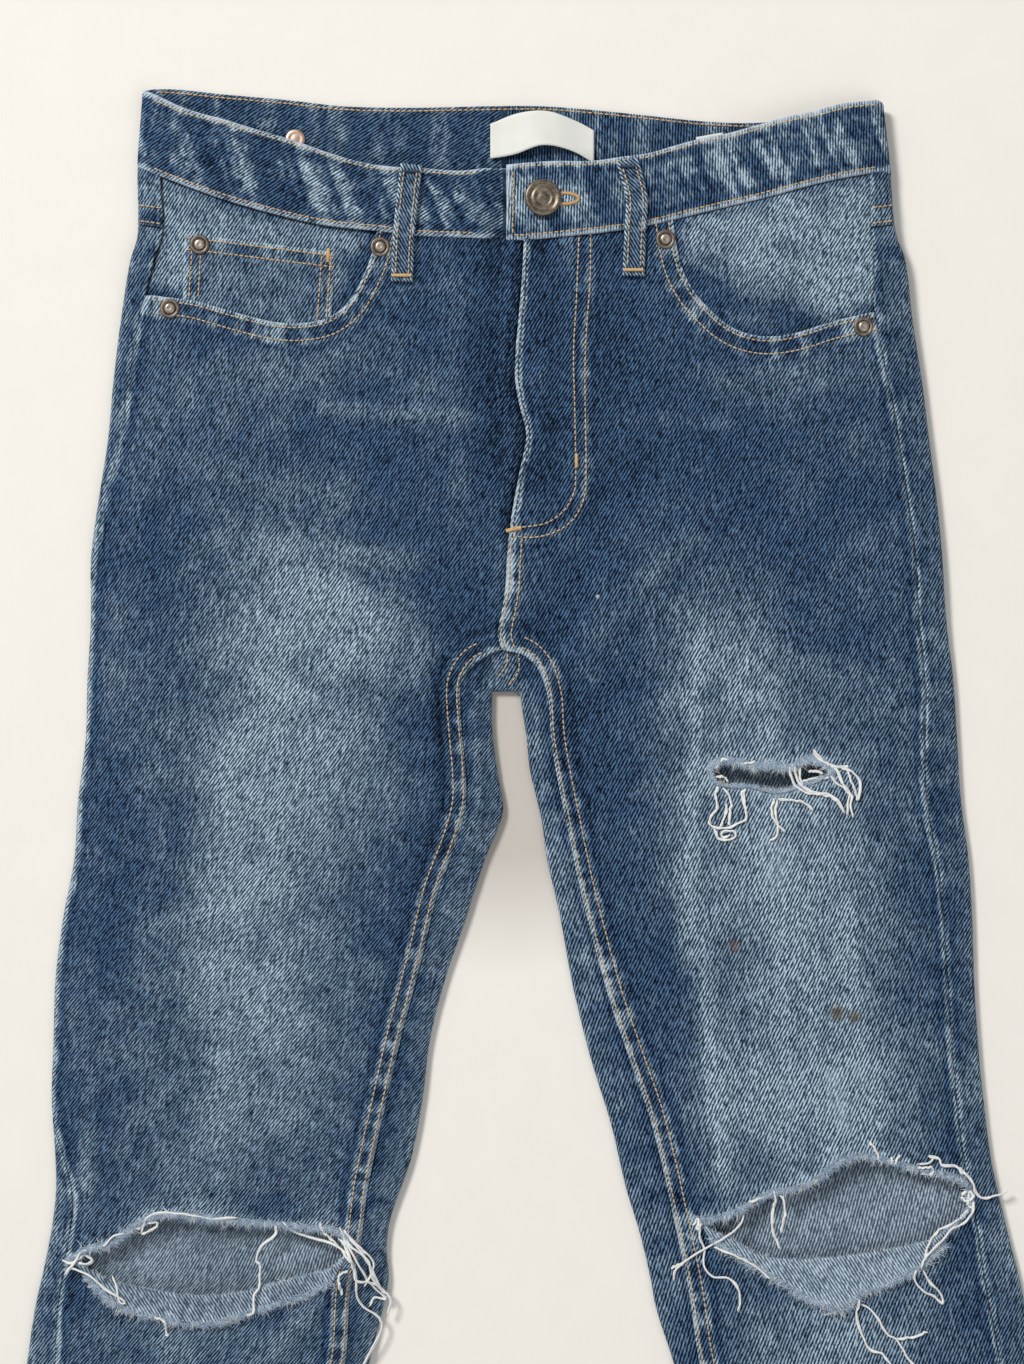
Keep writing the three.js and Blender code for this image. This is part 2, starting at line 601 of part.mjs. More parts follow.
function waistButton() {
  const [x, y] = BUTTON_AT;
  const foot = topFace(x, y) - BAND - GAP + 0.1;
  const head = topFace(x, y) + 0.9 - foot;
  const shank = lathe([[0, 0], [BUTTON_SHANK_R, 0], [BUTTON_SHANK_R, head + 1.4], [0, head + 1.4]], 24);
  const R = BUTTON_R;
  const cap = lathe([
    [0, 0], [R - 1.6, 0], [R, 0.9], [R, 1.6], [R - 1, 2.4], [R - 2.6, 2.4], [R - 3.2, 1.9],
    [R - 4.4, 1.9], [R - 5, 2.5], [0, 2.7],
  ]);
  const tilt = R * Math.sin(BUTTON_LEAN) * 0.55;
  cap.rotateY(BUTTON_LEAN).translate(x, y, foot + head + tilt);
  return solidOf(shank.translate(x, y, foot)).add(solidOf(cap));
}

function rivet([x, y], base) {
  const R = RIVET_R;
  const dome = lathe([[0, 0], [R, 0], [R, 0.5], [R - 0.9, 1.3], [2.9, 1.4], [2.2, 1.9], [0, 2.1]], 32);
  return solidOf(dome.translate(x, y, base));
}

// A short strip of label, its middle bowed up off the waistband's inner face.
function label() {
  const [top, low] = [smooth(LABEL_TOP), smooth(LABEL_LOW)];
  const base = SEAT_LIFT + BAND + GAP;
  const [from, to] = [LABEL_TOP[0][0], LABEL_TOP[LABEL_TOP.length - 1][0]];
  const loops = spaced(from, to, 5).map((x) => {
    const bow = LABEL_BOW * Math.sin((Math.PI * (x - from)) / (to - from)) ** 2;
    const z = base + bow;
    return [[low(x), z], [top(x), z], [top(x), z + LABEL_WALL], [low(x), z + LABEL_WALL]].map(
      ([y, height]) => new THREE.Vector3(y, x, height),
    );
  });
  // Sections run along x, so the loft's own x and y trade places.
  const swapped = geometryOf(loftSolid(loops));
  const at = swapped.attributes.position;
  for (let i = 0; i < at.count; i++) at.setXY(i, at.getY(i), at.getX(i));
  return facingOut(swapped);
}

function piece(name, shape, finish) {
  const geometry = shape.isBufferGeometry ? shape : geometryOf(shape);
  const mesh = new THREE.Mesh(geometry, finish);
  mesh.name = name;
  return mesh;
}

const jeans = new THREE.Group();
jeans.name = "ripped_jeans";
const add = (name, shape, finish = DENIM) => jeans.add(piece(name, shape, finish));
const slab = (outline, low, height) => prism(outline, low, low + height);

for (const side of ["right", "left"]) {
  const half = halfOf(side, everything.low, everything.high);
  add(`front_${side}`, frontPanel(side));
  add(`back_${side}`, backShell.intersect(half).intersect(belowYoke), DENIM_DARK);
  add(`yoke_${side}`, backShell.intersect(half).intersect(aboveYoke), DENIM_DARK);
  add(`hem_${side}`, hem(side), DENIM_DARK);
  add(`pocket_facing_${side}`, facing(side), DENIM_DARK);
  add(`back_pocket_${side}`, slab(turned(BACK_POCKET_AT[side], BACK_POCKET), 0, BACK_LAYER), DENIM_DARK);
}
const secondLayer = layer(CLOTH + GAP, CLOTH);
add("coin_pocket", secondLayer.intersect(prism(COIN_POCKET, PARTING, everything.high)));
const shieldTop = spaced(-28, TONGUE_END_X, 16).map((x) => [x, bandLowFront(x) - GAP]);
const shield = prism([...shieldTop, [TONGUE_END_X, 250], [18, 216], [-20, 216]], PARTING, everything.high);
add("fly_shield", secondLayer.intersect(shield), DENIM_DARK);
add("waistband", waistband());
for (const [name, points] of Object.entries(FRONT_LOOPS)) add(name, beltLoop(points));
const halfLoop = LOOP_WIDTH / 2;
for (const [name, place] of Object.entries(BACK_LOOPS)) {
  const foot = -BACK_LOOP_LENGTH;
  const outline = [[-halfLoop, 0], [halfLoop, 0], [halfLoop, foot], [-halfLoop, foot]];
  add(name, slab(turned(place, outline), 0, BACK_LAYER), DENIM_DARK);
}
add("waist_button", waistButton(), AGED_METAL);
for (const [name, [x, y]] of Object.entries(RIVETS)) {
  const under = name === "rivet_coin_pocket" ? CLOTH + GAP : 0;
  add(name, rivet([x, y], topFace(x, y) - under + RIVET_SEAT), COPPER);
}
const bandInner = SEAT_LIFT + BAND + 0.1;
add("inner_tack", rivet(INNER_TACK_AT, bandInner), COPPER);
add("waist_label", label(), LABEL_CLOTH);
add("size_tag", slab(SIZE_TAG, bandInner, LABEL_WALL), LABEL_CLOTH);
jeans.position.x = WAIST_X;

export default jeans;
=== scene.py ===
"""Ripped five-pocket jeans laid flat on their back: the fine cloth, stitching and metal.

Lengths here are in millimetres from the waist's centre line, as in the cutting room. `place`
turns them into metres in the shared frame. "Right" and "left" are the wearer's; right is -X.
"""

import json
import math

import bpy
import numpy as np
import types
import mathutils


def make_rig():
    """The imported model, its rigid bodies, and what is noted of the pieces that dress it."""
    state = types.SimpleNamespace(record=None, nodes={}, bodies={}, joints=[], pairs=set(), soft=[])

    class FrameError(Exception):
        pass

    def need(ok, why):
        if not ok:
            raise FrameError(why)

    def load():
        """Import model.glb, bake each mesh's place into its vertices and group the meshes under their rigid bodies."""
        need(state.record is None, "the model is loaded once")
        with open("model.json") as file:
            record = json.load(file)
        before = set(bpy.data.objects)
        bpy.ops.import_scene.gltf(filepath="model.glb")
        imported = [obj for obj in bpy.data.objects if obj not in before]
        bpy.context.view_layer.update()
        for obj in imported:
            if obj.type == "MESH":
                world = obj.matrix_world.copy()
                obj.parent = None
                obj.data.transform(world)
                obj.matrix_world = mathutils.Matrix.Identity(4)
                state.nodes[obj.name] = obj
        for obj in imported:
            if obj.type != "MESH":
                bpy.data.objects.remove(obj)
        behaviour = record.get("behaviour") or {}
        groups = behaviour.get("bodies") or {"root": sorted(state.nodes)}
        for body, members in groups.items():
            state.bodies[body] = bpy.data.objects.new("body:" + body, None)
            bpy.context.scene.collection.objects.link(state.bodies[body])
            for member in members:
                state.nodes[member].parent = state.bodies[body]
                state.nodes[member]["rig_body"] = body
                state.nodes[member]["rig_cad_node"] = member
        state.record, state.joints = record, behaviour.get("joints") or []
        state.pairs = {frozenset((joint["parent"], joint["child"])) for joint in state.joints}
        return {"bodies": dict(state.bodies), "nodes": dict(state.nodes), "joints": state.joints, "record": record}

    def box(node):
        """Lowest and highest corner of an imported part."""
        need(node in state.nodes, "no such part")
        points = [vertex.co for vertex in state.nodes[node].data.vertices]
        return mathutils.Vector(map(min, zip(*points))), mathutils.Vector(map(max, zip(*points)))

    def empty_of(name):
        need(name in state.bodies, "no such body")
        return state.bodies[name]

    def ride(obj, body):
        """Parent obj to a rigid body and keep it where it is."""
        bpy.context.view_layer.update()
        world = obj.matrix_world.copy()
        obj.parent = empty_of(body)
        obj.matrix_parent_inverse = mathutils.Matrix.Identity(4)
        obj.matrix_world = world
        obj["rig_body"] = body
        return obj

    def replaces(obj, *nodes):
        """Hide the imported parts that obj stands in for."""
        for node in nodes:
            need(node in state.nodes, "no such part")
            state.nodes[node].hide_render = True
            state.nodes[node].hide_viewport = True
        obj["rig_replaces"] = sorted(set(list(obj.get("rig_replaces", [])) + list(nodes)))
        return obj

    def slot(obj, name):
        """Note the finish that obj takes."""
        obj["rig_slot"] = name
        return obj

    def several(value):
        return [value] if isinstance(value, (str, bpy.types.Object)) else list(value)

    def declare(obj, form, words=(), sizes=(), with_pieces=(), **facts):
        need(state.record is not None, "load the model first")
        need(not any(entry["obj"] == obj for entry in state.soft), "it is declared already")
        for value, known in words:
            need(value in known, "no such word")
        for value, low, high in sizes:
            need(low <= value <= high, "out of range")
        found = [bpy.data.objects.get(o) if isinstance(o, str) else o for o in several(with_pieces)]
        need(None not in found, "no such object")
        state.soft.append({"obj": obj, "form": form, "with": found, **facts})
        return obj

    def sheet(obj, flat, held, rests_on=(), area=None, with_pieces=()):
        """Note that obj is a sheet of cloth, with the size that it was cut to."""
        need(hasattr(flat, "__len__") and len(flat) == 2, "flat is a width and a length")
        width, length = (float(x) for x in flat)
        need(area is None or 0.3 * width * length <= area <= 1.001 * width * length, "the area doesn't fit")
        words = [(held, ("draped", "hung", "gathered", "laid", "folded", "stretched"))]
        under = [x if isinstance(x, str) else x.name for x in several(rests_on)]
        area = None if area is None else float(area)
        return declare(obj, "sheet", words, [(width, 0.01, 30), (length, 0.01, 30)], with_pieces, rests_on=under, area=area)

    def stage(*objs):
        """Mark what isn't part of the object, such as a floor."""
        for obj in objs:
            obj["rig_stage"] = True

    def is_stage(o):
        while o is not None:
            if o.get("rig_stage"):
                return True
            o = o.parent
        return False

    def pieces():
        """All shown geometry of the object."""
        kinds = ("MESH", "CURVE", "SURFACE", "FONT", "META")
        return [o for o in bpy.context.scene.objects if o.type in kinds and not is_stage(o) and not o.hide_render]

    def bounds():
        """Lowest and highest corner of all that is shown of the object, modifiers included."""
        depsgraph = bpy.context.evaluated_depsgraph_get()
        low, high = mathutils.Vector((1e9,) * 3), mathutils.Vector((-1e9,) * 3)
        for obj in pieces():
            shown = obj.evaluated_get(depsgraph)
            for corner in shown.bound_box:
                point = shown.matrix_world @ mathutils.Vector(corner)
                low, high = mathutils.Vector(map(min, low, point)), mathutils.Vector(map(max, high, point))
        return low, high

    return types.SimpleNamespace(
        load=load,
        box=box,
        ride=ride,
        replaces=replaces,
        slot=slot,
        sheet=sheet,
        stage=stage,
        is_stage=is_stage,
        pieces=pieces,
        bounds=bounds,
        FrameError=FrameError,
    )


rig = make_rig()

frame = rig.load()
cad_box = [list(corner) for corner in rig.bounds()]

# ---- Sizes, in millimetres ----
CLOTH = 1.1  # washed denim, one layer
BAND, BAND_DEPTH = 2.6, 38.0  # waistband: thickness, depth
CELL = 2.3  # fineness of the cloth's grids
FORK_Y, CROTCH_Y, PLACKET_Y = 183.0, 203, 262  # fork's fold, crotch point, foot of the fly's placket
SEAT_LIFT = 1.5
FOLD_LEG, FOLD_WAIST = 2.4, 3.9
LOFT_SEAT, LOFT_KNEE, LOFT_HEM = 13.5, 11.0, 9.0
RISE = 18.0
YOKE_SIDE_Y, YOKE_BACK_Y = 428.0, 396.0
HEM_DEPTH, HEM_TUCK = 14.0, 2.5  # the leg runs HEM_TUCK down into its rolled hem
LEG_END_Y = -486.0
COIN_BELOW = 1.5  # how far the coin pocket lies under the front
OVERLAP_X, TONGUE_END_X = -3.5, 38.0
LOOP_WIDTH, LOOP_WALL = 11.6, 2.2
BUTTON_AT, BUTTON_LEAN = (15.5, 441.0), 0.14
TWILL_PITCH = 1.5
FACE, REVERSE, CUT = 0, 1, 2  # the three finishes of a piece of denim

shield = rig.box("fly_shield")
WAIST_X = (shield[0].x + shield[1].x) * 500 - (TONGUE_END_X - 28) / 2


def place(points):
    """Millimetres from the waist's centre line to metres in the row frame."""
    return (np.asarray(points, float) + [WAIST_X, 0, 0]) * 0.001


# ---- Curves ----
def smooth(points):
    """A cubic through (at, value) points: Hermite pieces whose slopes join the neighbours."""
    at, value = np.array(sorted(points), float).T
    slope = np.empty(len(at))
    slope[1:-1] = (value[2:] - value[:-2]) / (at[2:] - at[:-2])
    slope[0] = (value[1] - value[0]) / (at[1] - at[0])
    slope[-1] = (value[-1] - value[-2]) / (at[-1] - at[-2])

    def curve(q):
        """The cubic's value at q; past its ends it keeps its end values."""
        q = np.asarray(q, float)
        i = np.clip(np.searchsorted(at, q, side="right") - 1, 0, len(at) - 2)
        width = at[i + 1] - at[i]
        t = np.clip((q - at[i]) / width, 0, 1)
        rest = 1 - t
        level = value[i] * (1 + 2 * t) * rest**2 + value[i + 1] * (3 - 2 * t) * t**2
        return level + width * t * rest * (slope[i] * rest - slope[i + 1] * t)

    return curve


def run_along(line):
    """How far along a line each of its points is: the sum of the steps before it."""
    return np.concatenate([[0], np.cumsum(np.linalg.norm(np.diff(line, axis=0), axis=1))])


def sampled(line, run, at):
    """Points of a line where its run is `at`, straight between its own points."""
    return np.stack([np.interp(at, run, column) for column in line.T], 1)


def looped(outline):
    """A closed outline's points, with the first one again at the end."""
    return np.vstack([outline, outline[:1]])


def straight_sides(corners, count):
    """A closed outline through corners, with `count` even points on each straight side."""
    ring = looped(np.asarray(corners, float))
    return np.concatenate([np.linspace(a, b, count, endpoint=False) for a, b in zip(ring, ring[1:])])


def turned(corners, x, y, lean):
    """Corners turned by a lean about the origin, then moved to (x, y)."""
    across, up = np.array(corners, float).T
    c, s = math.cos(lean), math.sin(lean)
    return np.stack([x + across * c - up * s, y + across * s + up * c], 1)


def route(points, step=1.0):
    """Points spaced evenly along a smooth line: each coordinate is a cubic in chord length."""
    points = np.asarray(points, float)
    chord = run_along(points)
    fine = np.linspace(0, chord[-1], max(3, int(chord[-1] / step * 3)))
    dense = np.stack([smooth(list(zip(chord, column)))(fine) for column in points.T], 1)
    length = run_along(dense)
    return sampled(dense, length, np.linspace(0, length[-1], max(2, int(round(length[-1] / step)) + 1)))


def ease(q, low, high):
    """0 below low, 1 above high, and 3t^2 - 2t^3 between."""
    t = np.clip((np.asarray(q, float) - low) / (high - low), 0, 1)
    return t * t * (3 - 2 * t)


def bell(q, width):
    """exp(-(q / width)^2)."""
    return np.exp(-((q / width) ** 2))


def flat_top(q, width, soft):
    """1 while q is under width, easing to 0 over `soft`."""
    return 1 - ease(q, width - soft / 2, width + soft / 2)


def ripple(s, length, seed):
    """A wandering wave in [-1, 1] along s: random levels every `length`, eased between."""
    levels = np.random.default_rng(seed).uniform(-1, 1, 4096)
    cell = np.asarray(s, float) / length + 1000
    i = np.floor(cell).astype(int)
    t = cell - i
    t = t * t * (3 - 2 * t)
    return levels[i % 4096] * (1 - t) + levels[(i + 1) % 4096] * t


def cloudy(x, y, size, seed):
    """Soft blotches in [-1, 1]: random levels on a square lattice, eased between its corners."""
    levels = np.random.default_rng(seed).uniform(-1, 1, (256, 256))
    u, v = np.asarray(x, float) / size + 500, np.asarray(y, float) / size + 500
    i, j = np.floor(u).astype(int), np.floor(v).astype(int)
    a, b = u - i, v - j
    a, b = a * a * (3 - 2 * a), b * b * (3 - 2 * b)
    near, far = levels[i % 256, j % 256], levels[(i + 1) % 256, j % 256]
    near_up, far_up = levels[i % 256, (j + 1) % 256], levels[(i + 1) % 256, (j + 1) % 256]
    return (near * (1 - a) + far * a) * (1 - b) + (near_up * (1 - a) + far_up * a) * b


def beside(x, y, line, reach=45.0):
    """Distance from each point to a line of points, and how far along it the nearest point is."""
    shape = np.shape(x)
    spots = np.stack([np.ravel(x), np.ravel(y)], 1)
    away, along = np.full(len(spots), reach), np.zeros(len(spots))
    start, step = line[:-1], np.diff(line, axis=0)
    size = np.maximum((step**2).sum(1), 1e-9)
    run = np.concatenate([[0], np.cumsum(np.sqrt(size))])[:-1]
    low, high = line.min(0) - reach, line.max(0) + reach
    near = np.flatnonzero(((spots >= low) & (spots <= high)).all(1))
    for some in np.array_split(near, max(1, len(near) * len(start) // 1_500_000)):
        apart = spots[some, None] - start[None]
        t = np.clip((apart * step).sum(2) / size, 0, 1)
        square = ((apart - t[..., None] * step) ** 2).sum(2)
        best = square.argmin(1)
        rows = np.arange(len(some))
        away[some] = np.minimum(np.sqrt(square[rows, best]), reach)
        along[some] = run[best] + t[rows, best] * np.sqrt(size[best])
    return away.reshape(shape), along.reshape(shape)


def contains(outline, x, y):
    """Whether each point is inside a closed outline, by counting the edges to its left."""
    inside = np.zeros(np.shape(x), bool)
    for (x0, y0), (x1, y1) in zip(outline, np.roll(outline, -1, axis=0)):
        if y0 == y1:
            continue
        crosses = (y0 > y) != (y1 > y)
        inside ^= crosses & (x < x0 + (y - y0) * (x1 - x0) / (y1 - y0))
    return inside


# ---- Lines of the garment: [y, x] for the upright ones ----
OUTER_RIGHT = smooth([
    (520, -195), (500, -196), (457, -199), (423, -199), (409, -203), (378, -208), (346, -212),
    (314, -215), (282, -220), (251, -224), (219, -224), (187, -226), (155, -227), (123, -231),
    (92, -233), (60, -239), (28, -243), (-4, -244), (-36, -245), (-67, -243), (-88, -243),
    (-115, -247), (-147, -254), (-175, -258), (-240, -268), (-330, -280), (-430, -291), (-520, -299),
])
INNER_RIGHT = smooth([
    (183, -11), (162, -11), (137, -8), (119, -5), (108, -8), (94, -14), (76, -20), (60, -25),
    (28, -36), (-4, -44), (-36, -48), (-67, -54), (-99, -65), (-115, -67), (-131, -66),
    (-147, -69), (-175, -76), (-240, -90), (-330, -108), (-430, -127), (-520, -143),
])
OUTER_LEFT = smooth([
    (520, 195), (494, 196), (457, 200), (424, 203), (410, 208), (378, 212), (346, 217),
    (314, 221), (282, 225), (251, 228), (219, 230), (187, 234), (155, 236), (123, 238),
    (92, 242), (60, 244), (28, 245), (-4, 247), (-36, 250), (-67, 254), (-99, 261),
    (-131, 269), (-175, 278), (-240, 291), (-330, 309), (-430, 327), (-520, 342),
])
INNER_LEFT = smooth([
    (183, 3), (157, 7), (139, 9), (113, 15), (92, 18), (61, 25), (28, 31), (2, 37), (-20, 43),
    (-49, 52), (-83, 60), (-106, 67), (-131, 73), (-147, 76), (-175, 85), (-240, 104),
    (-330, 130), (-430, 160), (-520, 186),
])
# Cloth from the fold's outermost line to the side seam on top.
SIDE_SEAM_RIGHT = smooth([
    (520, 15), (450, 15), (423, 16), (393, 14), (378, 12), (346, 10), (314, 8), (282, 5), (251, 2),
    (219, 0), (-36, 0), (-67, 6), (-88, 11), (-115, 12), (-147, 14), (-175, 17), (-240, 18), (-520, 14),
])
SIDE_SEAM_LEFT = smooth([
    (520, 14), (450, 14), (424, 16), (394, 22), (378, 22), (346, 20), (314, 18), (282, 17), (251, 16),
    (187, 17), (155, 19), (123, 20), (60, 17), (28, 16), (-36, 16), (-99, 17), (-131, 20), (-175, 21),
    (-240, 21), (-520, 16),
])
# The lengthwise grain, down the middle of each leg.
GRAIN_RIGHT = smooth([
    (520, -104), (300, -108), (200, -113), (100, -122), (-100, -155), (-300, -193), (-520, -221),
])
GRAIN_LEFT = smooth([(520, 100), (300, 110), (200, 118), (100, 129), (-100, 163), (-300, 212), (-520, 264)])
FLY = smooth([
    (425, 6), (401, 5), (388, 4), (367, 2), (348, 1), (334, 3), (317, 7), (303, 5), (289, 2),
    (272, -1), (254, -3), (236, -4), (223, -6), (211, -8), (203, -6),
])
INSEAM_RIGHT = route([
    (-6, 203), (-10, 203), (-16, 200), (-21, 197), (-26, 190), (-28, 182), (-27, 162), (-25, 140),
    (-25, 122), (-30, 103), (-40, 76), (-47, 47), (-54, 20), (-61, -7), (-67, -34), (-72, -56),
    (-77, -81), (-79, -97), (-81, -112), (-86, -134), (-89, -173), (-105, -240), (-123, -330),
    (-141, -430), (-158, -530),
])
INSEAM_LEFT = route([
    (-6, 203), (3, 203), (9, 200), (14, 194), (17, 186), (19, 177), (20, 160), (23, 140), (28, 115),
    (35, 81), (43, 49), (52, 17), (62, -12), (72, -41), (79, -68), (86, -100), (93, -134),
    (99, -173), (117, -240), (143, -330), (172, -430), (200, -530),
])
BAND_TOP_POINTS = [
    (-210, 502), (-195, 498), (-175, 489), (-154, 483), (-134, 477), (-114, 471), (-93, 464),
    (-73, 459), (-46, 457), (-26, 456), (-4, 459), (20, 461), (42, 461), (57, 463), (72, 465),
    (86, 469), (101, 473), (116, 476), (131, 480), (146, 484), (161, 487), (176, 491), (196, 494),
    (210, 498),
]
BAND_LOW_POINTS = [
    (-210, 460), (-198, 458), (-181, 451), (-154, 441), (-127, 433), (-100, 427), (-73, 424),
    (-49, 421), (-19, 420), (5, 419), (27, 421), (54, 424), (72, 427), (101, 434), (131, 441),
    (161, 449), (190, 455), (210, 458),
]
BAND_TOP_BACK_POINTS = [
    (-210, 499), (-188, 501), (-154, 498), (-120, 495), (-93, 492), (-60, 491), (12, 492),
    (42, 490), (72, 487), (101, 484), (131, 483), (160, 486), (196, 491), (210, 493),
]
MOUTH_RIGHT = route([
    (-71, 430), (-72, 424), (-75, 410), (-79, 400), (-84, 390), (-91, 382), (-100, 377), (-114, 375),
    (-127, 376), (-147, 381), (-168, 387), (-183, 389), (-190, 390),
])
MOUTH_LEFT = route([
    (84, 434), (85, 424), (87, 412), (90, 402), (96, 391), (103, 383), (112, 375), (122, 370),
    (134, 368), (149, 370), (168, 376), (185, 380), (194, 382),
])
FACING_RIGHT = [(-62, 440), (-63, 400), (-75, 372), (-95, 358), (-130, 352), (-170, 358), (-190, 364)]
FACING_LEFT = [(73, 440), (75, 400), (87, 370), (105, 354), (135, 346), (170, 352), (196, 360)]
COIN_POCKET = [(-173.5, 423), (-93.5, 413), (-96.5, 366), (-135, 358), (-175, 372)]
KNEE_FOLD_RIGHT = [
    (-86, -113), (-90, -119), (-97, -125), (-104, -127), (-120, -131), (-137, -136), (-160, -139),
    (-185, -137), (-210, -132), (-223, -126), (-230, -122),
]
KNEE_LIP_RIGHT = [
    (-226, -128), (-208, -144), (-185, -150), (-167, -153), (-149, -150), (-129, -144),
    (-109, -138), (-95, -130),
]
KNEE_TEAR_RIGHT = [
    (-235, -121), (-226, -114), (-213, -111), (-202, -103), (-190, -96), (-167, -96),
    (-145, -99), (-124, -101), (-102, -103), (-93, -104), (-87, -109), *KNEE_FOLD_RIGHT,
]
KNEE_FOLD_LEFT = [
    (232, -103), (222, -109), (210, -113), (197, -115), (178, -118), (158, -120), (145, -120),
    (132, -118), (119, -111), (106, -105), (100, -101),
]
KNEE_LIP_LEFT = [
    (104, -108), (125, -121), (140, -130), (152, -138), (163, -143), (174, -146), (181, -139),
    (194, -134), (207, -128), (218, -121), (228, -111),
]
KNEE_TEAR_LEFT = [
    (96, -98), (106, -98), (122, -92), (136, -84), (148, -82), (160, -77), (172, -68), (184, -65),
    (197, -67), (215, -72), (236, -77), (242, -84), (241, -93), (237, -98), *KNEE_FOLD_LEFT,
]
THIGH_TEAR = [
    (104, 140), (107, 143.5), (112, 145), (118, 144), (128, 142), (137, 142), (147, 141),
    (152, 144), (157, 146), (163, 144), (169, 138), (163, 135), (152, 131), (140, 128),
    (133, 129), (124, 131), (114, 131), (106, 134),
]
BUTTON_RIVETS = {
    "rivet_pocket_right_inner": (-70, 415.5),
    "rivet_pocket_right_outer": (-181, 383),
    "rivet_coin_pocket": (-165.5, 417),
    "rivet_pocket_left_inner": (80.5, 419.5),
    "rivet_pocket_left_outer": (185, 373.5),
}
BACK_POCKET_AT = {"right": (-104, 312, -0.06), "left": (100, 312, 0.06)}
FRONT_LOOPS = {
    "belt_loop_front_right": [(-53.5, 458.5), (-55, 445), (-57.5, 420), (-58.5, 397)],
    "belt_loop_front_left": [(60, 461), (65, 442), (64.5, 425), (63.5, 400)],
}
BACK_LOOPS = {
    "belt_loop_back_right": (-128, 488, -0.03),
    "belt_loop_back_centre": (-2, 487, 0),
    "belt_loop_back_left": (124, 478, 0.03),
}
KNEE_RIGHT_YARNS = [
    [(-126.1, -100.4), (-125.7, -105.8), (-132.9, -111.9), (-135.8, -119.8), (-133.9, -121.4),
     (-134.2, -134.2), (-136.6, -137.6), (-137.2, -147.1), (-140.3, -148.4)],
    [(-121.4, -99.7), (-117.3, -103.8), (-105.8, -107.9), (-94.3, -111.2), (-85.5, -118.7),
     (-82.8, -126.8), (-82.8, -137.6), (-78.8, -145), (-72, -149.8), (-69.3, -155.2), (-72, -163.3),
     (-78.1, -174.1), (-81.5, -182.2)],
    [(-101.8, -99.7), (-100.4, -103.8), (-93.7, -110.6), (-85.5, -120)],
    [(-92.3, -102.5), (-85.5, -111.9), (-78.8, -117.3), (-73.4, -126.8), (-70.7, -134.9), (-65.3, -139)],
    [(-89.6, -103.8), (-82.8, -110.6), (-74, -120), (-74.7, -126.8), (-78.8, -133.5)],
    [(-90.3, -106.5), (-84.2, -116), (-80.1, -124.1), (-76.1, -130.8), (-72, -136.3), (-66.6, -141),
     (-73.4, -140.3), (-76.1, -145)],
    [(-86.9, -107.9), (-80.1, -114.6), (-76.1, -121.4), (-72, -133.5), (-64.6, -141), (-66.6, -149.8)],
    [(-92.3, -107.9), (-86.9, -114.6), (-84.2, -122.7), (-82.8, -129.5), (-73.4, -132.2), (-69.3, -136.3)],
    [(-86.9, -124.1), (-91.6, -126.8), (-90.9, -134.9), (-90.3, -137.6)],
    [(-238.3, -120), (-232.2, -120.7), (-227.5, -114.6), (-216.7, -111.9), (-210.6, -106.5),
     (-203.2, -105.2), (-199.1, -102.5)],
    [(-237, -127.5), (-232.2, -121.4), (-226.1, -117.3), (-222.1, -120), (-224.8, -122.1), (-229.5, -120.7)],
    [(-236.3, -126.8), (-234.3, -124.1), (-229.5, -124.8), (-222.1, -128.1), (-215.3, -133.5),
     (-207.2, -139), (-204.5, -141.7), (-207.2, -141.7), (-209.2, -133.5), (-211.3, -128.1)],
    [(-198.4, -103.8), (-192.3, -99.7), (-187.6, -99.7), (-189.6, -103.1), (-196.4, -105.8)],
    [(-196.4, -105.2), (-193.7, -97.7), (-188.3, -95), (-180.2, -94.3), (-169.4, -95.4), (-158.5, -97.3),
     (-145, -96.8)],
    [(-188.3, -149.1), (-183.6, -151.1), (-182.9, -157.2), (-181.5, -159.2)],
]
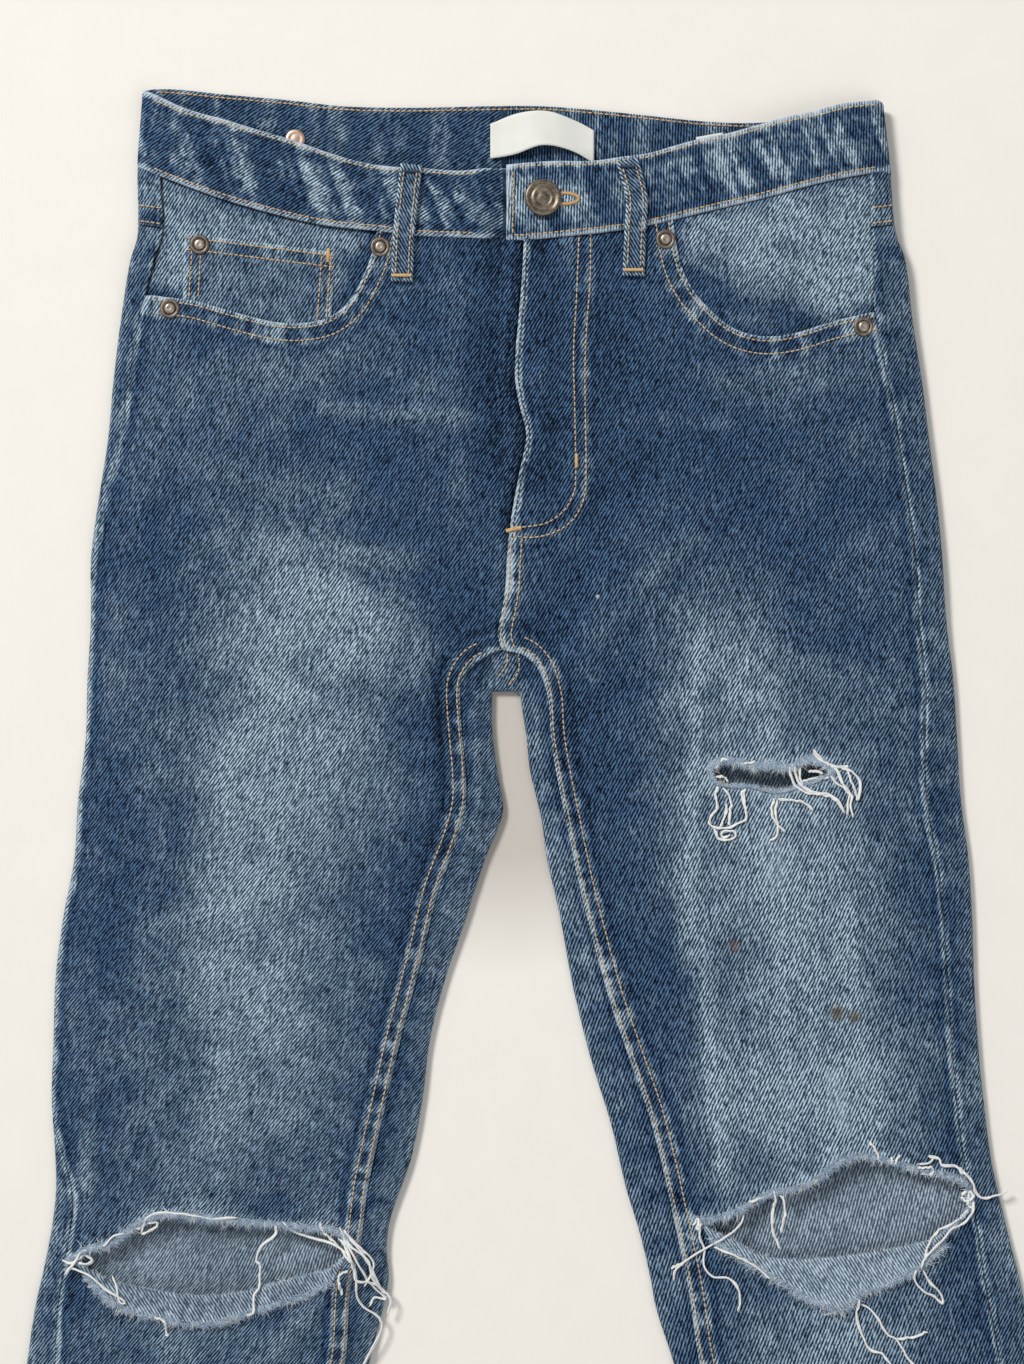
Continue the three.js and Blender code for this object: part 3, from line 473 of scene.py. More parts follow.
KNEE_LEFT_YARNS = [
    [(124.4, -88.9), (133.5, -85.7), (138, -83.1)],
    [(138, -82.4), (138.7, -88.9), (136.7, -95.4), (138, -105.8), (141.5, -114.2)],
    [(140.6, -83.1), (143.2, -88.9), (143.6, -96.7), (141.9, -105.2)],
    [(122.5, -93.5), (120.5, -100.6), (112.7, -107.1), (103.6, -112.3), (93.3, -118.8), (86.8, -124),
     (84.8, -130.5)],
    [(89.4, -121.4), (83.9, -124)],
    [(99.1, -98.7), (98.5, -105.8), (101, -113.6), (101, -122.7), (106.2, -128.5), (114, -129.2),
     (118.6, -133.1), (119.9, -142.2), (119.2, -147.1)],
    [(95.2, -100.6), (97.8, -98), (97.2, -103.2), (99.8, -100)],
    [(188.3, -56.5), (191.9, -61.7), (194.5, -66.9), (199.7, -67.5)],
    [(199.7, -64.9), (201, -69.5), (202.9, -65.6), (204.9, -64.3)],
    [(214, -68.8), (219.8, -68.2), (221.8, -65.6), (219.2, -64.3), (225, -65.6), (226.3, -68.8),
     (234.7, -70.1), (237.3, -74.7)],
    [(214, -70.8), (221.8, -70.8), (220.5, -74), (215.3, -74)],
    [(236, -70.8), (242.5, -77.3), (245.1, -83.7), (248.4, -87), (258.1, -85.7), (262, -83.1)],
    [(237.3, -85), (241.2, -83.1), (243.2, -86.3), (239.9, -88.9), (237.3, -86.3)],
    [(241.9, -83.7), (240.6, -90.2), (243.8, -92.8)],
    [(243.2, -88.9), (242.5, -95.4), (236, -101.3), (232.1, -102.6), (227, -108.4), (220.5, -114.9),
     (216.6, -118.8), (215.3, -124)],
    [(241.2, -92.8), (234.7, -99.3), (224.4, -104.5), (218.5, -112.3), (217.2, -118.8)],
    [(212.7, -124), (212, -129.2), (216.6, -135.7), (221.8, -138.3), (227.6, -142.2), (225.7, -137),
     (219.2, -129.2), (216.6, -124.6)],
    [(182.8, -139.6), (181.5, -147.3), (184.1, -157.7), (188, -165.5), (195.8, -169.4), (201, -177.2)],
    [(183.5, -142.8), (188, -144.7), (193.2, -151.2), (198.4, -159), (202.3, -161), (210.1, -173.3),
     (216.6, -181.1)],
    [(202.9, -161), (211.4, -159.7), (218.5, -157.1)],
    [(106.2, -112.3), (116.6, -116.2), (128.3, -122.7), (136.1, -129.2)],
]
THIGH_YARNS = [
    [(108.2, 131), (106.7, 126.5), (108.2, 119.8), (104.5, 115.3), (104.1, 110.9), (106.3, 108.6)],
    [(110.8, 130.2), (114.2, 125.7), (115.3, 121.3), (114.2, 115.3), (114.5, 110.1)],
    [(113, 121.3), (111.6, 114.6), (109.3, 109.4)],
    [(120.8, 128.7), (121.2, 123.5), (123.4, 116.8), (123.1, 113.8), (118.2, 111.2), (113, 109),
     (105.6, 109.4)],
    [(122.3, 129.5), (122, 123.5), (123.1, 118.3)],
    [(106.3, 108.6), (107.8, 104.2), (113, 102.7), (117.9, 104.6), (116, 107.2), (110.1, 106.4),
     (110.8, 104.2), (114.2, 104.9)],
    [(104.5, 138.4), (104.5, 139.9), (107.8, 142.1), (110.8, 145.5), (115.3, 144.3)],
    [(107.1, 135.8), (110.8, 136.2), (113.8, 133.2)],
    [(118.2, 143.6), (124.2, 143.2), (127.9, 144.3)],
    [(137.9, 124.3), (136.5, 119.1), (138.3, 112.4), (143.5, 106.8)],
    [(139.8, 123.5), (138.3, 118.3), (139.8, 110.1), (139.4, 104.9), (135.3, 102.3)],
    [(140.6, 123.5), (148, 123.5), (153.9, 122), (158, 118.3)],
    [(145.8, 141.7), (147.2, 136.2), (149.5, 131), (153.9, 128), (159.9, 126.9), (165.8, 127.2),
     (171, 123.5), (174.8, 116.8)],
    [(148.4, 141.7), (149.5, 136.2), (151.7, 131.7), (157.7, 128), (166.6, 126.5), (171.8, 122.8)],
    [(151, 141), (151.7, 136.2), (153.2, 131.7), (159.9, 127.2), (168.8, 125), (174, 118.3)],
    [(158.4, 149.9), (162.9, 145.8), (167.3, 138.4), (170.3, 133.2), (176.2, 129.1), (178.8, 125.7),
     (178.1, 120.5), (180, 114.6)],
    [(159.1, 148.1), (164.3, 143.6), (170.3, 139.9), (173.3, 133.2), (177.7, 128), (176.6, 121.3),
     (177, 115.3)],
    [(164.3, 143.6), (170.3, 141.4), (177, 141.7)],
    [(167.3, 141.4), (174.8, 140.6), (178.5, 139.1), (182.9, 133.2), (182.2, 123.5)],
    [(176.2, 139.9), (178.5, 133.9), (181.4, 127.2), (181.8, 123.1)],
    [(156.2, 138.4), (159.9, 139.1), (163.6, 138)],
    [(153.2, 133.2), (159.1, 135), (166.6, 135.4)],
]
SIDES = {
    "right": dict(
        sign=-1, outer=OUTER_RIGHT, inner=INNER_RIGHT, seam=SIDE_SEAM_RIGHT, inseam=INSEAM_RIGHT,
        grain=GRAIN_RIGHT, mouth=MOUTH_RIGHT, knee_fold=KNEE_FOLD_RIGHT, knee_lip=KNEE_LIP_RIGHT,
    ),
    "left": dict(
        sign=1, outer=OUTER_LEFT, inner=INNER_LEFT, seam=SIDE_SEAM_LEFT, inseam=INSEAM_LEFT,
        grain=GRAIN_LEFT, mouth=MOUTH_LEFT, knee_fold=KNEE_FOLD_LEFT, knee_lip=KNEE_LIP_LEFT,
    ),
}


# ---- The form of the laid-out garment ----
def fold_radius(y):
    """Outer radius of a folded edge: FOLD_LEG on the legs, eased to FOLD_WAIST from y 330 to 430."""
    return FOLD_LEG + (FOLD_WAIST - FOLD_LEG) * ease(y, 330, 430)


def seat_lift(y):
    """Height of the seat off the surface: SEAT_LIFT above the fork, eased to 0 on the legs."""
    return SEAT_LIFT * ease(y, 183, 232)


def loft(y):
    """Height of the loose cloth's middle: from hem to knee, level, then from y 120 up to the seat."""
    upper = LOFT_KNEE + (LOFT_SEAT - LOFT_KNEE) * ease(y, 120, 330)
    lower = LOFT_HEM + (LOFT_KNEE - LOFT_HEM) * ease(y, -500, -200)
    return np.where(np.asarray(y) > 120, upper, lower)


def from_folds(x, y):
    """Distances in plan: from the nearer side fold, and from the inner-leg fold or the fork."""
    side = np.where(x < -4, x - OUTER_RIGHT(y), OUTER_LEFT(y) - x)
    middle = (INNER_RIGHT(y) + INNER_LEFT(y)) / 2
    leg = np.where(x < middle, INNER_RIGHT(y) - x, x - INNER_LEFT(y))
    fork_away = np.maximum(0, np.maximum(INNER_RIGHT(FORK_Y) - x, x - INNER_LEFT(FORK_Y)))
    return side, np.where(y < FORK_Y, leg, np.hypot(fork_away, y - FORK_Y))


def top_face(x, y):
    """The front's upper face: from each fold it climbs like 1 - exp(-distance / RISE)."""
    x, y = np.broadcast_arrays(np.asarray(x, float), np.asarray(y, float))
    r = fold_radius(y)
    edge = seat_lift(y) + 2 * r
    climb = [1 - np.exp(-np.maximum(d - r, 0) / RISE) for d in from_folds(x, y)]
    return edge + (loft(y) - edge) * climb[0] * climb[1]


# Long soft folds in the cloth: two ends, half width and height.
CREASES = [
    ((-97, 330), (-12, 324), 5, 0.7), ((50, 326), (118, 318), 6, 0.6), ((-190, 300), (-60, 281), 7, 0.5),
    ((-150, 262), (-40, 247), 8, 0.5), ((40, 262), (170, 250), 9, 0.5), ((60, 352), (190, 340), 7, 0.5),
    ((98, 210), (92, 40), 6, 0.8), ((128, 190), (138, 60), 9, 0.5), ((150, 90), (160, -40), 9, 0.6),
    ((104, 60), (112, -70), 6, 0.7), ((-130, 120), (-160, -60), 12, 0.5), ((-222, -30), (-232, -120), 5, 1.0),
    ((-236, -50), (-228, -150), 4, -1.0), ((-60, 220), (-150, 150), 9, 0.5), ((-85, -120), (-150, -195),
    6, 1.0),
    ((225, -118), (200, -190), 6, 0.8), ((178, -25), (172, -62), 6, 0.6), ((206, 0), (214, -60), 6, 0.6),
    ((-176, -130), (-190, -240), 9, 0.6), ((130, -150), (150, -240), 9, 0.6), ((30, 200), (70, 150), 8, 0.5),
    ((14, 212), (66, 300), 11, -1.1), ((30, 196), (92, 262), 10, 0.9), ((-20, 214), (-70, 290), 12, -1.0),
    ((-34, 190), (-100, 240), 11, 0.9), ((-40, 160), (-110, 190), 9, -0.7), ((34, 170), (84, 190), 8, -0.7),
    ((-16, 300), (-14, 400), 7, -0.9), ((46, 280), (60, 390), 9, -0.8), ((-28, 290), (-30, 400), 6, 0.5),
    ((-6, 296), (-8, 420), 4, -1.1), ((12, 275), (16, 400), 4, 0.7), ((24, 270), (26, 405), 4, -0.6),
    ((-60, -10), (-72, -110), 4, -0.6), ((60, -20), (80, -130), 4, -0.6), ((-150, -300), (-260, -330),
    10, 0.8), ((170, -300), (290, -340), 10, 0.8), ((-140, -400), (-240, -395), 9, 0.6),
]


# Tighter folds that run out of the fork, where the thick seams cross: two ends, half width and height.
FORK_FOLDS = [
    ((-27, 168), (-11, 197), 2.4, -1.7), ((18, 168), (4, 197), 2.4, -1.7), ((-4, 185), (-5, 205), 2.6, 1.1),
    ((-19, 112), (-19, 182), 2.2, 0.9), ((15, 112), (12, 180), 2.2, 0.8), ((-35, 118), (-36, 192), 5, -1.8),
    ((26, 110), (28, 188), 5, -1.6), ((-12, 188), (-34, 218), 3, -1.0), ((8, 190), (30, 216), 3, -1.0),
    ((-42, 120), (-48, 200), 5, 1.0), ((38, 112), (40, 196), 5, 1.0),
]


def ridges(base, x, y, lines, gain=1.0):
    """A base plus gain * lift * bell(distance, width) for each line from a start to an end."""
    for start, end, width, lift in lines:
        away, _ = beside(x, y, np.array([start, end], float), 3 * width)
        base = base + gain * lift * bell(away, width)
    return base


def sway(x, y):
    """The slow rise and fall of loose cloth: soft blotches and the long folds."""
    blotches = 1.0 * cloudy(x, y, 42, 11) + 0.5 * cloudy(x, y, 15, 12) + 0.14 * cloudy(x, y, 6, 13)
    return ridges(blotches, x, y, CREASES, 1.6)


def fork_folds(x, y):
    """The fork's own folds, eased to nothing over the last 4 mm before the edge."""
    return ridges(0 * x, x, y, FORK_FOLDS) * ease(from_folds(x, y)[1], 0.5, 4.5)


def slack(x, y):
    """How far loose cloth stands off the smooth form."""
    return sway(x, y) * calm(x, y) + fork_folds(x, y)


def ground(x, y):
    """The upper face with its soft folds: what lies on the front is laid on this."""
    return top_face(x, y) + slack(x, y)


def calm(x, y):
    """Keeps the soft folds off the folded edges, where the cloth is pressed: 0 to 1 over 4 to 22 mm."""
    return ease(np.minimum(*from_folds(x, np.asarray(y, float))), 4, 22)


# Where years of wear have paled the cloth: middle, reach across and along, strength. The two at (-40, 160) and (31,
# 150) are not wear but painted shade beside the inner-leg seams.
FADES = [
    ((-118, 190), 52, 78, 0.38), ((-122, 95), 62, 90, 0.30), ((-140, -10), 60, 80, 0.26),
    ((-160, -75), 50, 30, 0.12), ((116, 195), 38, 42, 0.36), ((139, 80), 60, 80, 0.42),
    ((158, -30), 62, 55, 0.50), ((150, 120), 30, 30, 0.12), ((-100, 240), 40, 34, 0.14),
    ((-120, 352), 45, 12, 0.16), ((-170, 330), 22, 22, 0.16), ((120, 345), 45, 12, 0.12),
    ((-195, -160), 60, 26, 0.24), ((170, -165), 70, 40, 0.4), ((-50, 344), 34, 20, 0.10),
    ((-205, -360), 46, 120, 0.16), ((235, -360), 46, 120, 0.16),
    ((20, 318), 60, 40, -0.16), ((60, 370), 46, 40, -0.14), ((-30, 372), 34, 40, -0.12),
    ((-58, 60), 14, 90, -0.12), ((44, 150), 26, 60, -0.16), ((90, -20), 22, 70, -0.14),
    ((214, 90), 18, 170, -0.04), ((212, -40), 16, 60, -0.04), ((-215, 40), 12, 120, -0.08),
    # painted shade: the last two entries, (-40, 160) and (31, 150), darken the cloth beside the inner-leg seams
    ((70, 60), 22, 60, -0.10), ((-190, 210), 22, 70, -0.06), ((-40, 160), 9, 50, -0.22), ((31, 150),
    8, 50, -0.2),
]
# Narrow lines along the folds: start, end, half width, strength. They are partly wear, and partly painted light on a
# fold's ridge with painted shade in a dark line beside it, as at y 312 to 330 and 236 to 262.
STREAKS = [
    ((99, 205), (90, 30), 3.6, 0.16), ((95, 60), (112, -80), 5, 0.26), ((136, 160), (142, 40), 6, 0.14),
    ((176, 40), (190, -60), 5, 0.16), ((160, 120), (182, 30), 6, 0.14), ((150, 10), (158, -70), 4, -0.14),
    ((-100, 330), (-14, 326), 3, 0.14), ((-110, 318), (-20, 312), 4, -0.12), ((52, 329), (116, 322), 3, 0.10),
    ((-118, 262), (-46, 248), 5, 0.10), ((-112, 250), (-40, 236), 5, -0.08), ((168, -20), (180, -62),
    4, 0.16),
    ((-150, 150), (-162, 20), 8, 0.10), ((-176, 120), (-186, 0), 6, -0.08), ((-228, -60), (-234, -110),
    4, 0.2),
]


def paling(x, y):
    """How pale the washed front is: fades, streaks and fine mottling about a base; the folds add wear on their ridges
    and painted shade in their hollows, and two fades are painted shade beside the inner-leg seams.
    """
    pale = 0.15 + 0 * x
    for (cx, cy), across, along, strength in FADES:
        pale = pale + strength * np.exp(-(((x - cx) / across) ** 2) - ((y - cy) / along) ** 2)
    # fold ridges a little paler as worn cloth, fold hollows darker as painted shade; the streaks put painted light and
    # shade on folds too
    pale = ridges(pale, x, y, STREAKS) + 0.1 * sway(x, y) + 0.1 * fork_folds(x, y)
    pale = pale + 0.08 * cloudy(x, y, 26, 21) + 0.08 * cloudy(x, y, 9, 22)
    return pale + 0.05 * cloudy(x * 2.4, y / 4, 9, 23)


# ---- Meshes ----
def quads(rows, columns):
    """Faces of a grid whose points run along each row in turn."""
    corner = (np.arange(rows - 1)[:, None] * columns + np.arange(columns - 1)).ravel()
    return np.stack([corner, corner + 1, corner + columns + 1, corner + columns], 1)


def lidded(rows, around):
    """Faces of a tube of `rows` closed rings of `around` points, and the lid at each end."""
    ring = np.arange(around)
    return [ring_quads(rows, around), ring[None, ::-1], ((rows - 1) * around + ring)[None]]


def ring_quads(rows, around):
    """Faces of a tube of `rows` closed rings of `around` points."""
    i, j = np.meshgrid(np.arange(rows - 1), np.arange(around), indexing="ij")
    a, b = i * around + j, i * around + (j + 1) % around
    return np.stack([a, b, b + around, a + around], -1).reshape(-1, 4)


def face_directions(points, faces):
    """Each quad's normal, twice its area long: the cross product of its diagonals."""
    return np.cross(points[faces[:, 2]] - points[faces[:, 0]], points[faces[:, 3]] - points[faces[:, 1]])


def open_edges(faces):
    """Directed edges that only one face uses."""
    pairs = np.concatenate([np.stack([faces[:, k], faces[:, (k + 1) % 4]], 1) for k in range(4)])
    keys = np.sort(pairs, 1)
    code = keys[:, 0].astype(np.int64) * 10_000_000 + keys[:, 1]
    _, first, count = np.unique(code, return_index=True, return_counts=True)
    return pairs[first[count == 1]]


def trim(points, faces, outline, keep_inside, cell):
    """Cuts a grid along an outline: faces go by their middles, and the new edge is pulled onto it."""
    closed = looped(outline)
    middle = points[faces].mean(1)
    inside = contains(outline, middle[:, 0], middle[:, 1])
    before = set(np.unique(open_edges(faces)).tolist())
    faces = faces[inside == keep_inside]
    rim = np.array([v for v in np.unique(open_edges(faces)).tolist() if keep_inside or v not in before], int)
    away, along = beside(points[rim, 0], points[rim, 1], closed, 4 * cell)
    near = away < 1.6 * cell
    points[rim[near], :2] = sampled(closed, run_along(closed), along[near])
    return faces


class Cloth:
    """A piece of the garment: points, faces, weave coordinates and paleness, joined into one mesh."""

    def __init__(self, name):
        self.name = name
        self.points, self.weave, self.pale = [], [], []
        self.faces, self.finish = [], []
        self.count = 0

    def add(self, points, faces, weave, pale, finish=FACE):
        """Joins closed shapes as they are; `faces` is a list of groups with equal corner counts."""
        points = np.asarray(points, float).reshape(-1, 3)
        self.points.append(points)
        self.weave.append(np.asarray(weave, float).reshape(-1, 2))
        self.pale.append(np.broadcast_to(np.ravel(pale), len(points)))
        for group in faces:
            self.faces.append(np.asarray(group, int) + self.count)
            self.finish.append(np.full(len(group), finish))
        self.count += len(points)

    def wall(self, points, faces, weave, pale, thickness=CLOTH, up=True, finish=(FACE, REVERSE, CUT)):
        """A skin and its copy moved in along the vertex normals, closed round their rim."""
        points = np.asarray(points, float).reshape(-1, 3)
        direction = face_directions(points, faces)
        if up is not None and (direction[:, 2].sum() > 0) != up:
            faces = faces[:, ::-1]
            direction = -direction
        normal = np.zeros_like(points)
        for corner in range(4):
            np.add.at(normal, faces[:, corner], direction)
        normal /= np.maximum(np.linalg.norm(normal, axis=1, keepdims=True), 1e-9)
        used = np.unique(faces)
        new = np.full(len(points), -1)
        new[used] = np.arange(len(used))
        faces, points, normal = new[faces], points[used], normal[used]
        weave, pale = np.asarray(weave, float).reshape(-1, 2)[used], np.broadcast_to(pale, len(new))[used]
        total = len(points)
        edges = open_edges(faces)
        rim = np.stack([edges[:, 1], edges[:, 0], edges[:, 0] + total, edges[:, 1] + total], 1)
        groups = [faces, faces[:, ::-1] + total, rim]
        both = np.vstack([points, points - normal * thickness])
        self.points.append(both)
        self.weave.append(np.vstack([weave, weave]))
        self.pale.append(np.concatenate([pale, pale]))
        for group, kind in zip(groups, finish):
            self.faces.append(group + self.count)
            self.finish.append(np.full(len(group), kind))
        self.count += len(both)

    def build(self, materials, nodes=(), slot=None):
        """Writes everything gathered into one mesh, with its weave map and its paleness."""
        sizes = np.concatenate([np.full(len(g), g.shape[1]) for g in self.faces])
        corners = np.concatenate([g.ravel() for g in self.faces])
        mesh = bpy.data.meshes.new(self.name)
        mesh.vertices.add(self.count)
        mesh.vertices.foreach_set("co", place(np.vstack(self.points)).ravel())
        mesh.loops.add(len(corners))
        mesh.loops.foreach_set("vertex_index", corners.astype(np.int32))
        mesh.polygons.add(len(sizes))
        starts = np.concatenate([[0], np.cumsum(sizes)[:-1]])
        mesh.polygons.foreach_set("loop_start", starts.astype(np.int32))
        mesh.polygons.foreach_set("material_index", np.concatenate(self.finish).astype(np.int32))
        mesh.update(calc_edges=True)
        mesh.polygons.foreach_set("use_smooth", np.ones(len(sizes), bool))
        layer = mesh.uv_layers.new(name="weave")
        layer.uv.foreach_set("vector", (np.vstack(self.weave)[corners] * 0.001).ravel())
        pale = mesh.attributes.new("pale", "FLOAT", "POINT")
        pale.data.foreach_set("value", np.concatenate([np.ravel(p) for p in self.pale]))
        for material in materials:
            mesh.materials.append(material)
        return show(self.name, mesh, nodes, slot)


def show(name, mesh, nodes=(), slot=None):
    """A finished mesh in the scene, riding on the garment in place of its CAD nodes."""
    piece = bpy.data.objects.new(name, mesh)
    bpy.context.collection.objects.link(piece)
    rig.ride(piece, "root")
    if nodes:
        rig.replaces(piece, *nodes)
    if slot:
        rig.slot(piece, slot)
    return piece


def bundle(paths, radius, sides=3, flat=1.0):
    """Many threads at once: rings of (cos a, flat sin a) * radius across each path, closed at both ends."""
    paths = np.asarray(paths, float)
    count, knots, _ = paths.shape
    tangent = np.gradient(paths, axis=1)
    tangent /= np.maximum(np.linalg.norm(tangent, axis=2, keepdims=True), 1e-9)
    aside = np.cross(tangent, [0.05, 0.02, 1.0])
    aside /= np.maximum(np.linalg.norm(aside, axis=2, keepdims=True), 1e-9)
    over = np.cross(aside, tangent)
    angle = np.arange(sides) * 2 * math.pi / sides
    ring = np.cos(angle)[:, None] * aside[:, :, None] + flat * np.sin(angle)[:, None] * over[:, :, None]
    size = np.broadcast_to(radius, (count, knots)).copy()
    size[:, [0, -1]] *= 0.35
    points = paths[:, :, None] + size[:, :, None, None] * ring
    n, k, j = np.meshgrid(np.arange(count), np.arange(knots - 1), np.arange(sides), indexing="ij")
    first = (n * knots + k) * sides
    a, b = first + j, first + (j + 1) % sides
    sheath = np.stack([a, a + sides, b + sides, b], -1).reshape(-1, 4)
    start = np.arange(count)[:, None] * knots * sides + np.arange(sides)
    caps = [start, (start + (knots - 1) * sides)[:, ::-1]]
    run = np.cumsum(np.linalg.norm(np.diff(paths, axis=1, prepend=paths[:, :1]), axis=2), axis=1)
    weave = np.stack(np.broadcast_arrays(angle * np.max(radius), run[:, :, None]), -1)
    return points.reshape(-1, 3), [sheath, *caps], weave.reshape(-1, 2)


# ---- Lines shared by the panels, the stitching and the wear ----
FLY_LINE = np.stack([FLY(np.arange(424.0, 203, -1)), np.arange(424.0, 203, -1)], 1)
J_INNER = route([
    (35, 424), (33.5, 388), (32, 360), (32.6, 331), (33, 290), (31, 283), (26.5, 276), (18, 270), (8, 268),
    (-0.5, 267.6),
])
J_OUTER = route([
    (41, 424), (40.8, 400), (38.5, 367), (38, 345), (38.5, 290), (36.5, 280), (31, 271), (22, 265),
    (11, 262.3), (-0.5, 263),
])
PLACKET = np.vstack([FLY_LINE[FLY_LINE[:, 1] > 263], J_OUTER[::-1]])
TEARS = {
    side: [route([*points, points[0]])[:-1] for points in tears]
    for side, tears in (("right", [KNEE_TEAR_RIGHT]), ("left", [KNEE_TEAR_LEFT, THIGH_TEAR]))
}
COIN_EDGE = looped(np.array(COIN_POCKET, float))
BAND_LOW, BAND_TOP = smooth(BAND_LOW_POINTS), smooth(BAND_TOP_POINTS)
BACK_TOP = smooth(BAND_TOP_BACK_POINTS)


def side_seam_x(side, y):
    """Where the side seam lies in plan: round the fold's quarter circle, then level."""
    part = SIDES[side]
    r = fold_radius(y)
    seam, quarter = part["seam"](y), math.pi / 2 * r
    round_fold = r * (1 - np.cos(np.minimum(seam, quarter) / r))
    return part["outer"](y) - part["sign"] * np.where(seam < quarter, round_fold, r + seam - quarter)


def inner_edge(side, y):
    """The front panel's inner edge: the fly above the crotch point, the inner-leg seam below it."""
    seam = SIDES[side]["inseam"]
    height = np.minimum.accumulate(seam[:, 1]) - 0.2 * np.minimum(np.arange(len(seam)), 12)
    return np.where(y > CROTCH_Y, FLY(y), np.interp(y, height[::-1], seam[::-1, 0]))


def folded(side, y, s):
    """Cloth measured round the side fold from its outermost line, up over the top or down under.

    Within a quarter circle: x = fold -+ r (1 - cos(s / r)), z = low + r + r sin(s / r). Past it the
    cloth lies level, on the upper face or on the surface below.
    """
    part = SIDES[side]
    r = fold_radius(y)
    quarter = math.pi / 2 * r
    angle = np.clip(s / r, -math.pi / 2, math.pi / 2)
    level = np.maximum(np.abs(s) - quarter, 0)
    x = part["outer"](y) - part["sign"] * (r * (1 - np.cos(angle)) + level)
    z = seat_lift(y) + r + r * np.sin(angle)
    return x, np.where(s > quarter, top_face(x, y), z)


def hem_line(side, x):
    """Height of the hem's lower edge: a straight line that drops from the outer to the inner fold."""
    if side == "right":
        return -478 - (x + 294) * 20 / 156
    return -471 + (x - 334) * 30 / 158


def leg_end(side, x):
    """Where the leg's own cloth ends, tucked into the hem."""
    return hem_line(side, x) + HEM_DEPTH - HEM_TUCK


def front_relief(side, x, y):
    """What is sewn into a front: turned edges and felled seams stand up, stitch rows pull down."""
    part = SIDES[side]
    seed = 40 if side == "right" else 60
    inseam, along = beside(x, y, part["inseam"], 26)
    height = 0.7 * flat_top(inseam, 8.2, 2) - 0.45 * bell(inseam, 1.0) - 0.25 * bell(inseam - 10, 1.6)
    height += (0.5 * ripple(along, 5, seed) - 0.1) * bell(inseam - 4.5, 3.2)
    height += 0.5 * ripple(along, 9, seed + 1) * np.exp(-inseam / 9) * ease(inseam, 7, 10)
    mouth, along = beside(x, y, part["mouth"], 30)
    height += 0.75 * flat_top(mouth, 10.4, 1.8) + 0.35 * bell(mouth, 1.6) - 0.3 * bell(mouth - 2.4, 0.7)
    height += 0.55 * ripple(along, 4.2, seed + 2) * bell(mouth - 6, 3.6) - 0.25 * bell(mouth - 9.6, 0.7)
    height += 0.75 * ripple(along, 11, seed + 3) * np.exp(-mouth / 8) * ease(mouth, 10, 13)
    seam = np.abs(x - side_seam_x(side, y))
    height += 0.45 * bell(seam - 1.6, 1.4) - 0.6 * bell(seam, 0.8)
    height += 0.55 * ripple(y, 12, seed + 4) * np.exp(-seam / 7)
    low = BAND_LOW(x) - y
    height += 0.9 * ripple(x, 8, seed + 5) * np.exp(-np.maximum(low, 0) / 10) - 0.5 * bell(low, 2)
    hem = y - hem_line(side, x) - HEM_DEPTH
    height += 0.7 * ripple(x, 9, seed + 6) * np.exp(-np.maximum(hem, 0) / 9)
    for tear in TEARS[side]:
        away, along = beside(x, y, looped(tear), 14)
        height += (0.3 + 0.5 * ripple(along, 8, seed + 7)) * np.exp(-away / 4) * (away < 14)
    fly = x - FLY(y)
    if side == "right":
        return height - 0.5 * bell(fly, 3) * (y > PLACKET_Y)
    away, along = beside(x, y, J_OUTER, 20)
    inside = np.where(contains(PLACKET, x, y), away, -away)
    height += 0.55 * ease(inside, -1.2, 1.2) + 0.55 * ripple(along, 6, 68) * bell(away, 5)
    edge = fly * (y > CROTCH_Y)
    height += (1.5 + 0.5 * ripple(y, 13, 69)) * bell(edge, 3.6) * (y > PLACKET_Y) * (y < 440)
    height += 0.9 * ripple(y, 11, 71) * bell(fly - 14, 8) * (y > PLACKET_Y)
    fell = 0.7 * flat_top(fly, 8, 2) + 0.3 * ripple(y, 5, 70) * bell(fly - 4, 3)
    return height + fell * (y < PLACKET_Y) * (y > CROTCH_Y)


def front_face(side, x, y):
    """A front's upper face with everything that is sewn into it."""
    return ground(x, y) + front_relief(side, x, y)


